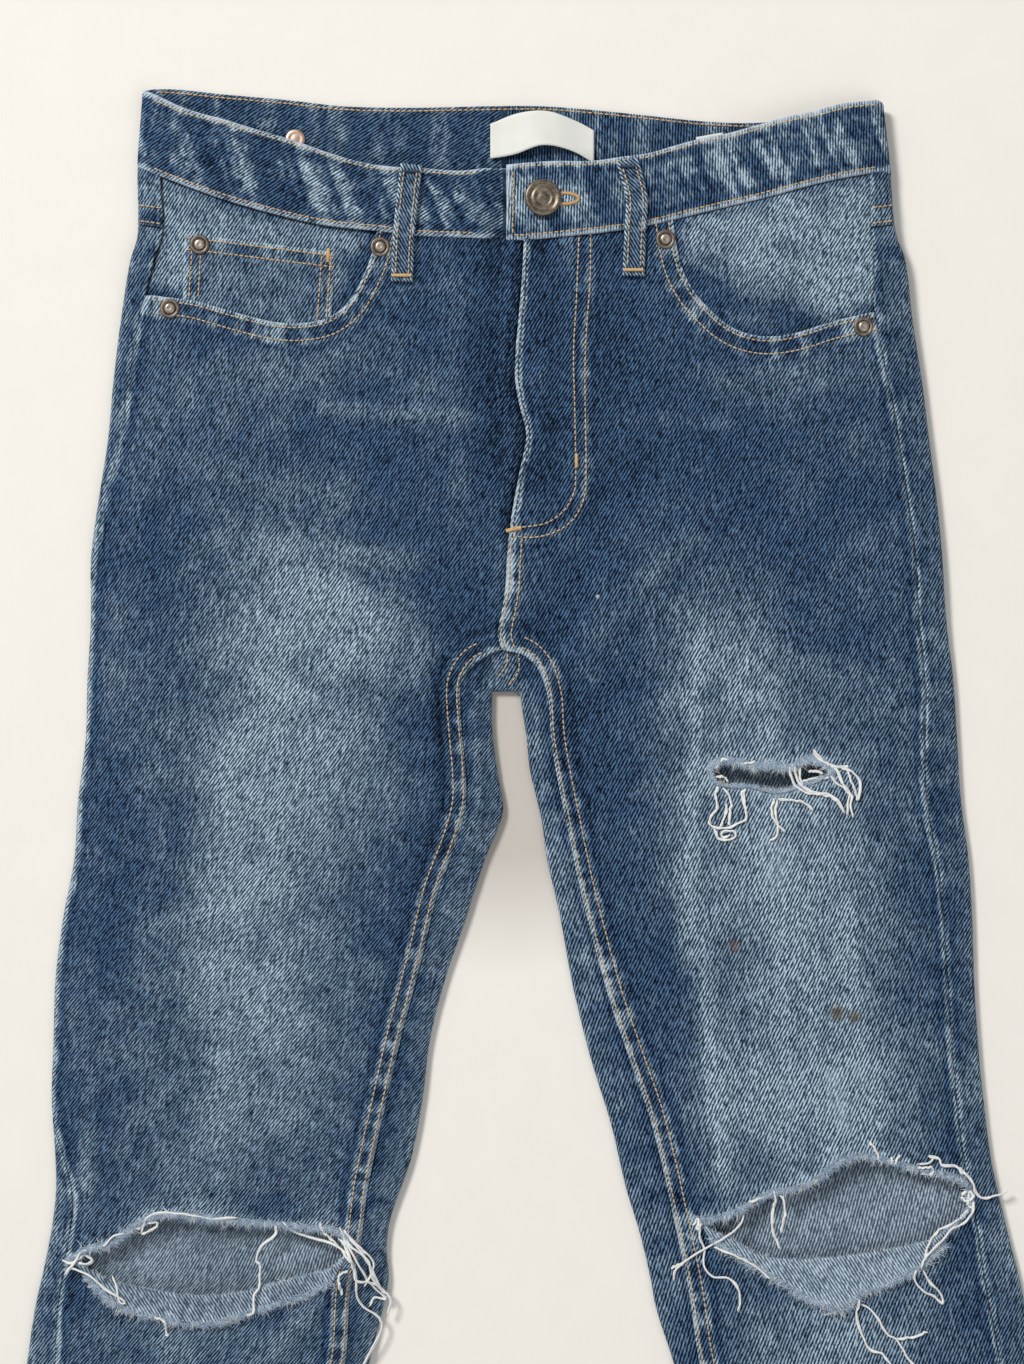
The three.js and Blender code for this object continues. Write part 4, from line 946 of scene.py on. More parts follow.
def front_pale(side, x, y):
    """Wear of a front: its fades, pale along every edge, and light and dark bars across the seams; and painted shade,
    in dark lines beside the seams, under the band, along the pocket mouth and beside the fly.
    """
    part = SIDES[side]
    seed = 80 if side == "right" else 100
    pale = paling(x, y)
    inseam, along = beside(x, y, part["inseam"], 26)
    # painted shadow: the dark line at 10.8 mm, just past the felled strip's step
    pale += 0.95 * bell(inseam, 1.4) + 0.45 * bell(inseam - 8.3, 1.2) - 0.45 * bell(inseam - 10.8, 2.2)
    pale += 0.5 * ripple(along, 3.6, seed) * flat_top(inseam, 8.2, 2) - 0.16 * bell(inseam - 4.5, 2.4)
    mouth, along = beside(x, y, part["mouth"], 30)
    pale += 0.95 * bell(mouth, 1.3) + 0.5 * ripple(along, 3.4, seed + 1) * flat_top(mouth, 10.4, 2)
    # painted shade: the dark lines in the stitch row's groove at 2.6 mm and just past the stitched strip at 12.4 mm
    pale += 0.3 * bell(mouth - 10.6, 1.2) - 0.2 * bell(mouth - 2.6, 0.9) - 0.22 * bell(mouth - 12.4, 1.4)
    pale += 0.22 * ripple(along, 9, seed + 2) * np.exp(-mouth / 9) * (mouth > 10)
    seam = np.abs(x - side_seam_x(side, y))
    # painted shadow: the dark line 4.4 mm from the side seam, beside its ridge
    pale += (0.75 + 0.35 * ripple(y, 6, seed + 3)) * bell(seam - 1.2, 1.5) - 0.3 * bell(seam - 4.4, 1.8)
    pale += 0.3 * ripple(y, 7, seed + 4) * np.exp(-seam / 6)
    low = np.maximum(BAND_LOW(x) - y, 0)
    # painted shade: the dark line close under the waistband
    pale += 0.34 * ripple(x, 5, seed + 5) * np.exp(-low / 9) - 0.3 * bell(low, 3)
    for tear in TEARS[side]:
        away, along = beside(x, y, looped(tear), 14)
        frayed = (0.5 + 0.2 * ripple(along, 4, seed + 6)) * bell(away, 2.2)
        pale += frayed + 0.2 * np.exp(-away / 5) * (away < 14)
    fly = x - FLY(y)
    if side == "right":
        # painted shade: shade darkens the right front beside the fly, under the left front's lap
        shade = 0.7 * bell(fly + 1, 4.5) + 0.16 * (1 + ripple(y, 16, 126)) * bell(fly + 14, 9)
        return pale + (0.16 * bell(fly + 9, 2.6) - shade) * (y > PLACKET_Y)
    away, along = beside(x, y, J_OUTER, 20)
    pale += (0.3 + 0.3 * ripple(along, 4, 121)) * bell(away - 1, 1.6) - 0.25 * bell(away - 4, 2)
    pale += 0.3 * ripple(along, 5, 125) * np.exp(-away / 8) * (away < 20)
    pale += (1.1 + 0.4 * ripple(y, 6, 122)) * flat_top(np.abs(fly - 1.6), 2.1, 1.2) * (y > CROTCH_Y)
    pale += (0.3 * ripple(y, 10, 127) - 0.22) * bell(fly - 11, 7) * (y > PLACKET_Y)
    pale += 0.2 * ripple(y, 5, 123) * bell(fly - 6, 5) * (y > CROTCH_Y)
    fell = 0.34 * ripple(y, 3.6, 124) * flat_top(fly, 8, 2) + 0.3 * bell(fly - 8, 1.2)
    return pale + fell * (y < PLACKET_Y) * (y > CROTCH_Y)


def front_panel(side, materials):
    """A front: even columns from the side seam to the inner edge, even rows from hem to waistband."""
    part = SIDES[side]
    rows, columns = 400, 88
    v, t = np.meshgrid(np.linspace(0, 1, rows), np.linspace(0, 1, columns), indexing="ij")
    y = -480 + 920 * v
    for _ in range(8):
        r = fold_radius(y)
        seam = part["seam"](y)
        seam = np.where(seam < 1, 0, seam)
        reach = np.abs(inner_edge(side, y[:, -1:]) - part["outer"](y)) - r + math.pi / 2 * r
        s = seam + t * (reach - seam)
        x, z = folded(side, y, s)
        low = leg_end(side, x)
        y = low + v * (BAND_LOW(x) + 1.5 - low)
    x, z = folded(side, y, s)
    on_top = ease(s, 2, 7)
    height = z + slack(x, y) + front_relief(side, x, y) * on_top
    under_band = ease(y, BAND_LOW(x) - 1, BAND_LOW(x) + 1)
    height -= 0.9 * under_band + 0.9 * (1 - ease(y - hem_line(side, x), 11, 14.5))
    points = np.stack([x, y, height], -1).reshape(-1, 3)
    faces = quads(rows, columns)
    mouth = part["mouth"]
    far = part["sign"] * 240
    cut = np.vstack([mouth, [(far, mouth[-1, 1] + 2), (far, 560), (mouth[0, 0], 560)]])
    faces = trim(points, faces, cut, False, CELL)
    for tear in TEARS[side]:
        faces = trim(points, faces, tear, False, CELL)
    weave = np.stack([x - part["grain"](y), y], -1).reshape(-1, 2)
    pale = front_pale(side, points[:, 0], points[:, 1])
    cloth = Cloth(f"front_{side}_cloth")
    cloth.wall(points, faces, weave, pale)
    lip(cloth, side)
    return cloth.build(materials, [f"front_{side}"], "denim")


def lip(cloth, side):
    """The torn cloth turned over below a knee tear: a half circle of 1.2 mm, then flat, edge curling."""
    fold, edge = route(SIDES[side]["knee_fold"]), route(SIDES[side]["knee_lip"])
    if (fold[0] - fold[-1]) @ (edge[0] - edge[-1]) < 0:
        edge = edge[::-1]
    count = 120
    share = np.linspace(0, 1, count)

    fold, edge = (sampled(line, np.arange(len(line)), share * (len(line) - 1)) for line in (fold, edge))
    reach = edge - fold
    out = -reach / np.maximum(np.linalg.norm(reach, axis=1, keepdims=True), 1e-6)
    r = 1.25
    turn = np.linspace(-math.pi / 2, math.pi / 2, 7)
    base = front_face(side, fold[:, 0], fold[:, 1])
    rolled = [np.c_[fold + out * r * math.cos(a), base - CLOTH + r + r * math.sin(a)] for a in turn]
    flat = []
    for c in np.linspace(0, 1, 12)[1:]:
        ragged = 0.6 * ripple(share * 160, 6, 31) + 1.1 * ripple(share * 160, 2.5, 34) * c * c
        spot = fold + reach * c + out * (ragged * c)[:, None]
        z = ground(spot[:, 0], spot[:, 1]) + 1.5 + 0.5 * ripple(share * 160, 15, 32) * c + 0.6 * c * c
        z = z * c + (base + 1.4) * (1 - c)
        flat.append(np.c_[spot, np.maximum(z, front_face(side, spot[:, 0], spot[:, 1]) + CLOTH + 0.1)])
    grid = np.stack(rolled + flat)
    faces = quads(len(grid), count)
    points = grid.reshape(-1, 3)
    across = np.linspace(0, 1, len(grid))[:, None] + 0 * share
    pale = (0.42 if side == "right" else 0.66) + 0.3 * np.exp(-across * 6)
    blotches = cloudy(points[:, 0], points[:, 1], 5, 33).reshape(across.shape)
    pale = pale + 0.4 * bell(across - 1, 0.12) + 0.25 * blotches
    cloth.wall(points, faces, points[:, :2], pale.ravel(), finish=(REVERSE, FACE, CUT))


# ---- Backs, yokes and hems ----
def yoke_line(x):
    """Height of the yoke seam: straight from YOKE_SIDE_Y at each side to YOKE_BACK_Y at the centre."""
    return np.interp(x, [-240, -199, -2, 202, 240], [431, YOKE_SIDE_Y, YOKE_BACK_Y, YOKE_SIDE_Y, 431])


def centre_back(y):
    """Where the centre back seam lies: straight runs between three points."""
    return np.interp(y, [163, 300, 540], [-5, -2, -2])


def weld(points, faces):
    """Joins points that agree to 0.01 mm, so that the grids of one panel shade as one."""
    _, kept, new = np.unique(np.round(points, 2), axis=0, return_index=True, return_inverse=True)
    return kept, new.ravel()[faces]


def back_pale(x, y, z):
    """Wear of the back where it shows: strips beside the seams, and mild fades underneath; and painted shade in the
    fork's folds and in dark lines beside the seams.
    """
    # painted shade: fork_folds darkens the fork's fold hollows and lightens their ridges
    pale = 0.26 + 0.14 * fork_folds(x, y) + 0.12 * cloudy(x, y, 24, 141) + 0.09 * cloudy(x, y, 8, 142)
    under = z < seat_lift(y) + 1
    pale = pale + under * (0.25 * bell(y - 250, 120) + 0.1 * bell(y + 60, 150))
    for side, part in SIDES.items():
        seam = np.abs(x - side_seam_x(side, y))
        seam_wear_and_shade = 0.4 * bell(seam, 1.6) + 0.35 * ripple(y, 7, 143) * np.exp(-seam / 7)
        # painted shadow: the dark line 3 mm from the side seam
        pale = pale + ~under * (seam_wear_and_shade - 0.14 * bell(seam - 3, 2))
        inseam, along = beside(x, y, part["inseam"], 26)
        # painted shadow: the dark line 1.6 mm from the inner-leg seam, at the seam's step; the rest is rubbed wear
        seam_wear_and_shade = 0.3 * bell(inseam, 1) - 0.35 * bell(inseam - 1.6, 1.6)
        pale = pale + ~under * (seam_wear_and_shade + 0.3 * ripple(along, 8, 144) * np.exp(-inseam / 9))
    return pale + 0.35 * bell(z - seat_lift(y) - fold_radius(y), 2.0)


def back_relief(x, y):
    """Puckers of the strips that wrap to the front, dying away over 8 to 14 mm from their seams."""
    height = 0 * x
    for side, part in SIDES.items():
        seam = np.abs(x - side_seam_x(side, y))
        height = height + 0.6 * ripple(y, 11, 151) * np.exp(-seam / 8) - 0.6 * bell(seam, 0.9)
        inseam, along = beside(x, y, part["inseam"], 26)
        pucker = 0.7 * ripple(along, 10, 152) * np.exp(-inseam / 10) * (inseam < 26)
        height = height + pucker - 0.8 * bell(inseam, 1.2)
    return height


def lengthwise(side, x, y, inner=False):
    """Weave coordinate across a back: unrolled x from the panel's own line, whose lean is the taper's."""
    part = SIDES[side]
    wide, narrow = (abs(float(part["outer"](at) - part["inner"](at))) for at in (FORK_Y, -520.0))
    taper = (np.minimum(y, FORK_Y) - FORK_Y) * (wide - narrow) / (FORK_Y + 520)
    spread = wide + (math.pi - 2) * FOLD_LEG + taper
    return x - part["grain"](y) + part["sign"] * spread * (1 if inner else -1)


def back_panel(side, materials):
    """A back: the leg wraps right round from seam to seam, the seat from side seam to centre back."""
    part = SIDES[side]
    sign = part["sign"]
    strip, turn, flat, more, inner_strip = 9, 7, 34, 6, 8
    edges = np.concatenate([[0], np.cumsum([strip, turn, flat, turn, inner_strip])])
    column = np.arange(edges[-1] + 1)
    rows = 230
    up = np.linspace(0, 1, rows)[:, None]
    y = np.linspace(LEG_END_Y, FORK_Y, rows)[:, None] + 0 * column
    ends = LEG_END_Y - leg_end(side, part["outer"](LEG_END_Y) - sign * 80)
    y = y - ends * (1 - ease(y, LEG_END_Y, -300))
    for _ in range(2):
        r = fold_radius(y)
        quarter = math.pi / 2 * r
        inner = part["inner"](y)
        seam = np.maximum(part["seam"](y), 0.0)
        half = np.abs(inner - part["outer"](y)) / 2
        inseam_x = inner_edge(side, y)
        reach = np.abs(inner - inseam_x) - r + quarter
        flat_width = 2 * half - 2 * r
        stops = np.stack([
            seam, np.minimum(quarter, seam), -quarter, -quarter - flat_width,
            -3 * quarter - flat_width, -2 * quarter - flat_width - reach,
        ], -1)
        piece = np.clip(np.searchsorted(edges, column, side="right") - 1, 0, 4)
        share = (column - edges[piece]) / (edges[piece + 1] - edges[piece])
        rows_at, columns_at = np.indices(y.shape)
        s = stops[rows_at, columns_at, piece] * (1 - share)
        s = s + stops[rows_at, columns_at, piece + 1] * share
        outer_x, outer_z = folded(side, y, s)
        beyond = -s - quarter - flat_width  # measured on from the inner fold's lower start
        angle = np.clip(beyond / r, 0, math.pi)
        inner_x = inner + sign * (r - r * np.sin(angle) + np.maximum(beyond - 2 * quarter, 0))
        inner_z = seat_lift(y) + r - r * np.cos(angle)
        inner_z = np.where(beyond > 2 * quarter, top_face(inner_x, y), inner_z)
        x = np.where(beyond > 0, inner_x, outer_x)
        z = np.where(beyond > 0, inner_z, outer_z)
        y = up * FORK_Y + (1 - up) * leg_end(side, x)
    top = (s > quarter) | (beyond > 2 * quarter)
    z = z + top * (slack(x, y) + back_relief(x, y))
    z = z + (0.7 * (~top) * (z < 2) - 0.9 * top) * (1 - ease(y - hem_line(side, x), 11, 14.5))
    leg = np.stack([x, y, z], -1)
    u_outer = lengthwise(side, part["outer"](y) - sign * (r + np.maximum(s, -quarter) - quarter), y)
    u_inner = lengthwise(side, inner + sign * (r + np.maximum(beyond, 0) - 2 * quarter), y, True)
    crossing = np.clip((-s - quarter) / flat_width, 0, 1)
    leg_weave = np.stack([u_outer * (1 - crossing) + u_inner * crossing, y], -1)

    # The seat: the leg's outer columns run on, and a few more reach from the fork to the centre back.
    seat_rows = 62
    last = edges[3] + 1
    v = np.linspace(0, 1, seat_rows)[:, None]
    start_x, start_s = leg[-1, :last, 0], s[-1, :last]
    beyond_fork = np.linspace(0, 1, more + 1)[1:] * abs(centre_back(FORK_Y) - start_x[-1])
    across = np.concatenate([start_s, start_s[-1] - beyond_fork])
    y = FORK_Y + v * 230 + 0 * across
    under = np.clip((across - across[edges[2]]) / (across[-1] - across[edges[2]]), 0, 1)
    column = np.arange(len(across))
    on_top = np.clip(column / edges[1], 0, 1)
    on_turn = np.clip((column - edges[1]) / (edges[2] - edges[1]), 0, 1)
    for _ in range(3):
        r = fold_radius(y)
        quarter = math.pi / 2 * r
        seam = np.maximum(part["seam"](y), 0.0)
        width = np.abs(centre_back(y) - part["outer"](y)) - r
        s_top = seam + (np.minimum(quarter, seam) - seam) * on_top
        s = np.where(column < edges[2], s_top * (1 - on_turn) - quarter * on_turn, -quarter - under * width)
        x, z = folded(side, y, s)
        y = FORK_Y + v * (yoke_line(x) - 0.3 - FORK_Y)
    top = s > quarter
    z = z + top * (slack(x, y) + back_relief(x, y))
    seat = np.stack([x, y, z], -1)
    seat[0, :last] = leg[-1, :last]
    seat_weave = np.stack([lengthwise(side, part["outer"](y) - sign * (r + s - quarter), y), y], -1)

    # The crotch: from the curved seams down to the fork, where it folds under.
    bridge_rows, fold_rows = 12, 7
    count = inner_strip + more + 1
    corner = part["inner"](FORK_Y) + sign * fold_radius(FORK_Y)
    v = np.linspace(1, 0, bridge_rows)[:, None]
    column = np.arange(count)
    y = FORK_Y + 20 * v + 0 * column
    near = inner_edge(side, y)
    share = column / inner_strip
    at_strip = inner_edge(side, np.array(FORK_Y)) * (1 - share) + corner * share
    at_fork = np.where(share <= 1, at_strip, corner + (-5 - corner) * (column - inner_strip) / more)
    spread_x = near + (-5.5 - near) * column / (count - 1)
    x = spread_x * v + at_fork * (1 - v)
    bridge = np.stack([x, y, bridge_face(x, y)], -1)
    bridge[-1, : inner_strip + 1] = leg[-1, edges[4]:][::-1][: inner_strip + 1]
    r = fold_radius(FORK_Y)
    angle = np.linspace(0, math.pi, fold_rows)[1:, None]
    fork_x = at_fork[inner_strip:] + 0 * angle
    top_z = bridge[-1, inner_strip:, 2]
    height = top_z * (1 + np.cos(angle)) / 2
    fork = np.stack([fork_x, FORK_Y + r * 0.9 * (1 - np.sin(angle)) - r * 0.9 + 0 * fork_x, height], -1)
    fork = np.concatenate([bridge[-1:, inner_strip:], fork])

    bridge_weave = np.stack([lengthwise(side, bridge[..., 0], bridge[..., 1], True), bridge[..., 1]], -1)
    under_fork = FORK_Y - r * np.concatenate([[0], angle[:, 0]])[:, None] + 0 * fork[..., 0]
    fork_weave = np.stack([lengthwise(side, fork[..., 0], FORK_Y, True), under_fork], -1)
    grids = [leg, seat, bridge, fork]
    everything = np.vstack([grid.reshape(-1, 3) for grid in grids])
    weave = np.vstack([map_.reshape(-1, 2) for map_ in (leg_weave, seat_weave, bridge_weave, fork_weave)])
    firsts = np.cumsum([0] + [grid[..., 0].size for grid in grids])
    faces = np.vstack([quads(*grid.shape[:2]) + first for grid, first in zip(grids, firsts)])
    cloth = Cloth(f"back_{side}_cloth")
    kept, joined = weld(everything, faces)
    joined = joined[(np.diff(np.sort(joined, 1), axis=1) > 0).all(1)]
    spots = everything[kept]
    pale = back_pale(spots[:, 0], spots[:, 1], spots[:, 2])
    cloth.wall(spots, outward(spots, joined), weave[kept], pale, up=None)
    return cloth.build(materials, [f"back_{side}"], "denim")


def outward(points, faces):
    """Turns a wrapped sheet's faces so that those on the surface below look down."""
    direction = face_directions(points, faces)
    below = points[faces].mean(1)[:, 2] < 2.2
    return faces if direction[below, 2].sum() < 0 else faces[:, ::-1]


def yoke(side, materials):
    """A yoke: on from the back panel to the waistband, round the side fold to the centre back."""
    part = SIDES[side]
    sign = part["sign"]
    rows, top, turn, flat = 26, 8, 7, 60
    column = np.arange(top + turn + flat + 1)
    v = np.linspace(0, 1, rows)[:, None]
    y = 425 + 30 * v + 0 * column
    back_low = smooth([(x, q - BAND_DEPTH - 2 * math.cos(x / 130)) for x, q in BAND_TOP_BACK_POINTS])
    blend = np.clip((column - top) / turn, 0, 1)
    for _ in range(3):
        r = fold_radius(y)
        quarter = math.pi / 2 * r
        seam = part["seam"](y)
        width = np.abs(centre_back(y) - part["outer"](y)) - r
        s = seam + (quarter - seam) * np.clip(column / top, 0, 1)
        s = np.where(column > top, quarter - 2 * quarter * blend, s)
        s = np.where(column > top + turn, -quarter - width * (column - top - turn) / flat, s)
        x, z = folded(side, y, s)
        high = (BAND_LOW(x) + 1.5) * (1 - blend) + (back_low(x) + 1.5) * blend
        low = yoke_line(x) + 0.3
        y = low + v * (high - low)
    on_top = s > quarter
    z = z + on_top * (slack(x, y) + back_relief(x, y))
    height = y - yoke_line(x)
    z = z + on_top * (0.5 * flat_top(np.abs(height - 4), 4, 1.5) - 0.4 * bell(height, 1))
    z = z - on_top * 0.9 * ease(y, high - 3, high) + (~on_top) * (z < 3) * 0.8 * ease(y, high - 3, high)
    points = np.stack([x, y, z], -1).reshape(-1, 3)
    faces = outward(points, quads(rows, len(column)))
    height = height.ravel()
    pale = back_pale(points[:, 0], points[:, 1], points[:, 2])
    pale = pale + 0.3 * ripple(points[:, 0], 4, 161) * bell(height - 4, 4)
    cloth = Cloth(f"yoke_{side}_cloth")
    weave = np.stack([lengthwise(side, part["outer"](y) - sign * (r + s - quarter), y), y], -1)
    cloth.wall(points, faces, weave.reshape(-1, 2), pale + 0.4 * bell(height, 1.2), up=None)
    return cloth.build(materials, [f"yoke_{side}"], "denim")


def band_section(height, thickness, along=14, around=5):
    """A flat rounded strip's section: offsets up its height and in through its thickness."""
    ends = min(thickness / 2, height / 2)
    up = np.linspace(ends, height - ends, along)
    angle = np.linspace(0, math.pi, around + 1)[1:-1]
    s, c = np.sin(angle), np.cos(angle)
    rise = np.concatenate([up, height - ends + ends * s, up[::-1], ends - ends * s])
    depth = np.concatenate([0 * up, ends * (1 - c), 0 * up + 2 * ends, ends * (1 + c)])
    return rise, depth


def hem(side, materials):
    """A rolled hem round the leg's end: a strip 14 mm deep, fuller than the leg, roping as it goes."""
    part = SIDES[side]
    rise, depth = band_section(HEM_DEPTH, 2.3, 9, 5)
    around = 200
    p = np.linspace(0, 1, around, endpoint=False)[:, None]
    swell = 0.8
    y = LEG_END_Y + rise[None] + 0 * p
    seed = 170 if side == "right" else 180
    for _ in range(3):
        r = fold_radius(y) + swell
        left = np.minimum(part["outer"](y), part["inner"](y)) - swell
        right = np.maximum(part["outer"](y), part["inner"](y)) + swell
        width = right - left - 2 * r
        q = p * 4
        x_top = left + r + np.clip(q / 1.8, 0, 1) * width
        turn_right = np.clip((q - 1.8) / 0.2, 0, 1) * math.pi
        x_low = right - r - np.clip((q - 2) / 1.8, 0, 1) * width
        turn_left = np.clip((q - 3.8) / 0.2, 0, 1) * math.pi
        top, low = q <= 1.8, (q > 2) & (q <= 3.8)
        inset = depth[None]
        bend_right = right - r + (r - inset) * np.sin(turn_right)
        bend_left = left + r - (r - inset) * np.sin(turn_left)
        x = np.where(top, x_top, np.where(q <= 2, bend_right, np.where(low, x_low, bend_left)))
        y = hem_line(side, x) + rise[None]
    swollen = np.sin(np.pi * np.clip(rise / HEM_DEPTH, 0, 1))[None]
    roping = 0.45 * ripple(p * 380 + 0.6 * rise[None], 8, seed) * swollen
    face = top_face(x, y) + slack(x, y) + 2 * swell + roping
    side_right = r + (r - inset) * np.cos(turn_right)
    side_left = r - (r - inset) * np.cos(turn_left)
    z = np.where(top, face - inset, np.where(q <= 2, side_right, np.where(low, inset, side_left)))
    points = np.stack([x, y, z], -1).reshape(-1, 3)
    sections = len(rise)
    i, j = np.meshgrid(np.arange(around), np.arange(sections), indexing="ij")
    a, b = i * sections + j, i * sections + (j + 1) % sections
    c, d = ((i + 1) % around) * sections + (j + 1) % sections, ((i + 1) % around) * sections + j
    faces = np.stack([a, b, c, d], -1).reshape(-1, 4)
    up = points[faces].mean(1)[:, 2] > 5
    direction = face_directions(points, faces)
    outside = (np.arange(len(faces)) % sections) < 8
    if direction[up & outside, 2].sum() < 0:
        faces = faces[:, ::-1]
    run = (p * 380 + 0 * rise).ravel()
    up_run = (rise[None] + 0 * p).ravel()
    pale = 0.5 + 0.3 * ripple(run + 0.6 * up_run, 5, seed + 1) + 0.5 * bell(up_run - 1, 1.6)
    pale = pale + 0.25 * bell(up_run - 13, 1.4)
    pale -= 0.3 * bell(up_run - 8, 3) * (ripple(run, 9, seed + 2) > 0)
    cloth = Cloth(f"hem_{side}_cloth")
    cloth.add(points, [faces], np.stack([run, up_run], -1), pale)
    return cloth.build(materials, [f"hem_{side}"], "denim")


# ---- Waistband ----
def band_relief(x, y, low, top):
    """Puckers drawn up between the waistband's rows of stitches, and dips along them."""
    share = (y - low) / (top - low)
    body = np.sin(np.pi * np.clip(share, 0, 1))
    height = 0.55 * ripple(x + 5 * share, 7.5, 191) * body + 0.4 * cloudy(x, y, 9, 192)
    return height - 0.3 * bell(y - low - 3, 0.8) - 0.3 * bell(top - y - 2.6, 0.8)


def band_face(x, y):
    """The waistband's outer face on the front: the ground + 0.8, and its puckers."""
    return ground(x, y) + 0.8 + band_relief(x, y, BAND_LOW(x), BAND_TOP(x))


def band_pale(x, y, low, top, inside):
    """Wear of the band: pale edges, blotchy bars between the rows, dark inside."""
    share = (y - low) / (top - low)
    slant = x + 14 * share
    bars = 0.5 * ripple(slant, 3.0, 193) + 0.34 * ripple(slant, 7.5, 198)
    pale = 0.3 + bars * np.sin(np.pi * np.clip(share, 0.15, 0.85)) + 0.36 * cloudy(x, y, 3.0, 194)
    pale += 0.26 * cloudy(x, y, 7, 199) + 1.0 * bell(y - low, 1.9) + 1.1 * bell(top - y, 2.0)
    pale -= 0.3 * bell(y - low - 5, 2.2) + 0.3 * bell(top - y - 5, 2.2)
    within = 0.06 + 0.5 * np.maximum(ripple(x + 3 * share, 2.4, 195), 0) - 0.1
    within = within + 0.35 * np.maximum(ripple(x, 6, 200), 0)
    within += 0.14 * cloudy(x, y, 4, 196) + 0.3 * bell(top - y, 1.6)
    return np.where(inside, within, pale)


def waistband(materials):
    """The band: a rounded strip carried from the buttoned end right round to the hidden end.

    On the front its outer face is the upper face + 0.8; at the folds it turns on their circles;
    at the back it lies on the surface. The hidden end steps down under the buttoned one.
    """
    rise, depth = band_section(BAND_DEPTH, BAND, 16, 5)
    rise = rise / BAND_DEPTH
    front, bend, back = 100, 8, 120
    order = {"left": front, "bend_left": bend, "back": back, "bend_right": bend, "right": front + 14}
    grids, runs, insides = [], [], []
    run = 0.0
    for name, count in order.items():
        t = np.linspace(0, 1, count, endpoint=name == "right")[:, None]
        if name in ("left", "right"):
            from_x, to_x = (OVERLAP_X, 196.0) if name == "left" else (-195.0, TONGUE_END_X)
            x = from_x + (to_x - from_x) * t + 0 * rise
            hidden = ease(x, -17, -5) if name == "right" else 0 * x
            low, top = BAND_LOW(x) + 1.2 * hidden, BAND_TOP(x) - 1.2 * hidden
            y = low + (top - low) * rise
            r = fold_radius(y)
            if name == "left":
                x = OVERLAP_X + (OUTER_LEFT(y) - r - OVERLAP_X) * t
            else:
                start = OUTER_RIGHT(y) + r
                x = start + (TONGUE_END_X - start) * t
            z = band_face(x, y) - depth - 3.6 * hidden
        elif name == "back":
            x = 196 - 391 * t + 0 * rise
            top = BACK_TOP(x)
            low = top - BAND_DEPTH - 2 * np.cos(x / 130)
            y = low + (top - low) * rise
            r = fold_radius(y)
            start, end = OUTER_LEFT(y) - r, OUTER_RIGHT(y) + r
            x = start + (end - start) * t
            z = SEAT_LIFT - 0.4 + depth + 0.3 * ripple(x, 8, 197) * (depth > BAND / 2)
        else:
            left = name == "bend_left"
            angle = (math.pi / 2 - math.pi * t) if left else (-math.pi / 2 - math.pi * t)
            share = t if left else 1 - t
            at = 196.0 if left else -195.0
            low = BAND_LOW(at) * (1 - share) + (BACK_TOP(at) - 40) * share
            top = BAND_TOP(at) * (1 - share) + BACK_TOP(at) * share
            y = low + (top - low) * rise
            r = fold_radius(y)
            centre = OUTER_LEFT(y) - r if left else OUTER_RIGHT(y) + r
            up = (band_face(centre, y) - SEAT_LIFT + 0.4) / 2
            x = centre + (r + 0.3 - depth) * np.cos(angle)
            z = SEAT_LIFT - 0.4 + up + (up - depth) * np.sin(angle)
        step = {"left": 200, "back": 391, "right": 235}.get(name, 12)
        grids.append(np.stack([x, y, z], -1))
        runs.append(run + step * t + 0 * rise)
        insides.append((depth > BAND * 0.6)[None] & np.ones((count, 1), bool))
        run += step
    grid, runs, insides = np.concatenate(grids), np.concatenate(runs), np.concatenate(insides)
    rows, around = grid.shape[:2]
    groups = lidded(rows, around)
    faces = groups[0]
    points = grid.reshape(-1, 3)
    outer = face_directions(points, faces)
    on_front = (points[faces].mean(1)[:, 2] > 8) & (~insides.ravel()[faces[:, 0]])
    if outer[on_front, 2].sum() < 0:
        groups = [group[:, ::-1] for group in groups]
    x, y = points[:, 0], points[:, 1]
    on_back = points[:, 2] < 6.5
    top = np.where(on_back, BACK_TOP(x), BAND_TOP(x))
    low = np.where(on_back, BACK_TOP(x) - 40, BAND_LOW(x))
    pale = band_pale(x, y, low, top, insides.ravel())
    pale += 1.1 * bell(x - OVERLAP_X, 2.2) * (~on_back) * (np.arange(rows * around) < front * around)
    lean = np.where(x < OVERLAP_X, math.radians(-23), math.radians(31))
    weave = np.stack([x * np.cos(lean) + y * np.sin(lean), y * np.cos(lean) - x * np.sin(lean)], -1)
    cloth = Cloth("waistband_cloth")
    cloth.add(points, groups, weave, pale)
    return cloth.build(materials, ["waistband"], "denim")


# ---- Flat layers and small pieces ----
def patch(name, outline, height, pale, materials, node, cell=2.2, up=True, thickness=CLOTH, slot="denim"):
    """A layer of cloth cut to an outline: a level grid trimmed to it, laid at height(x, y)."""
    outline = np.asarray(outline, float)
    low, high = outline.min(0) - cell, outline.max(0) + cell
    across, along = np.arange(low[0], high[0] + cell, cell), np.arange(low[1], high[1] + cell, cell)
    y, x = np.meshgrid(along, across, indexing="ij")
    points = np.stack([x, y, 0 * x], -1).reshape(-1, 3)
    faces = trim(points, quads(len(along), len(across)), outline, True, cell)
    points[:, 2] = height(points[:, 0], points[:, 1])
    cloth = Cloth(name)
    cloth.wall(points, faces, points[:, :2], pale(points[:, 0], points[:, 1]), thickness=thickness, up=up)
    return cloth.build(materials, [node], slot)


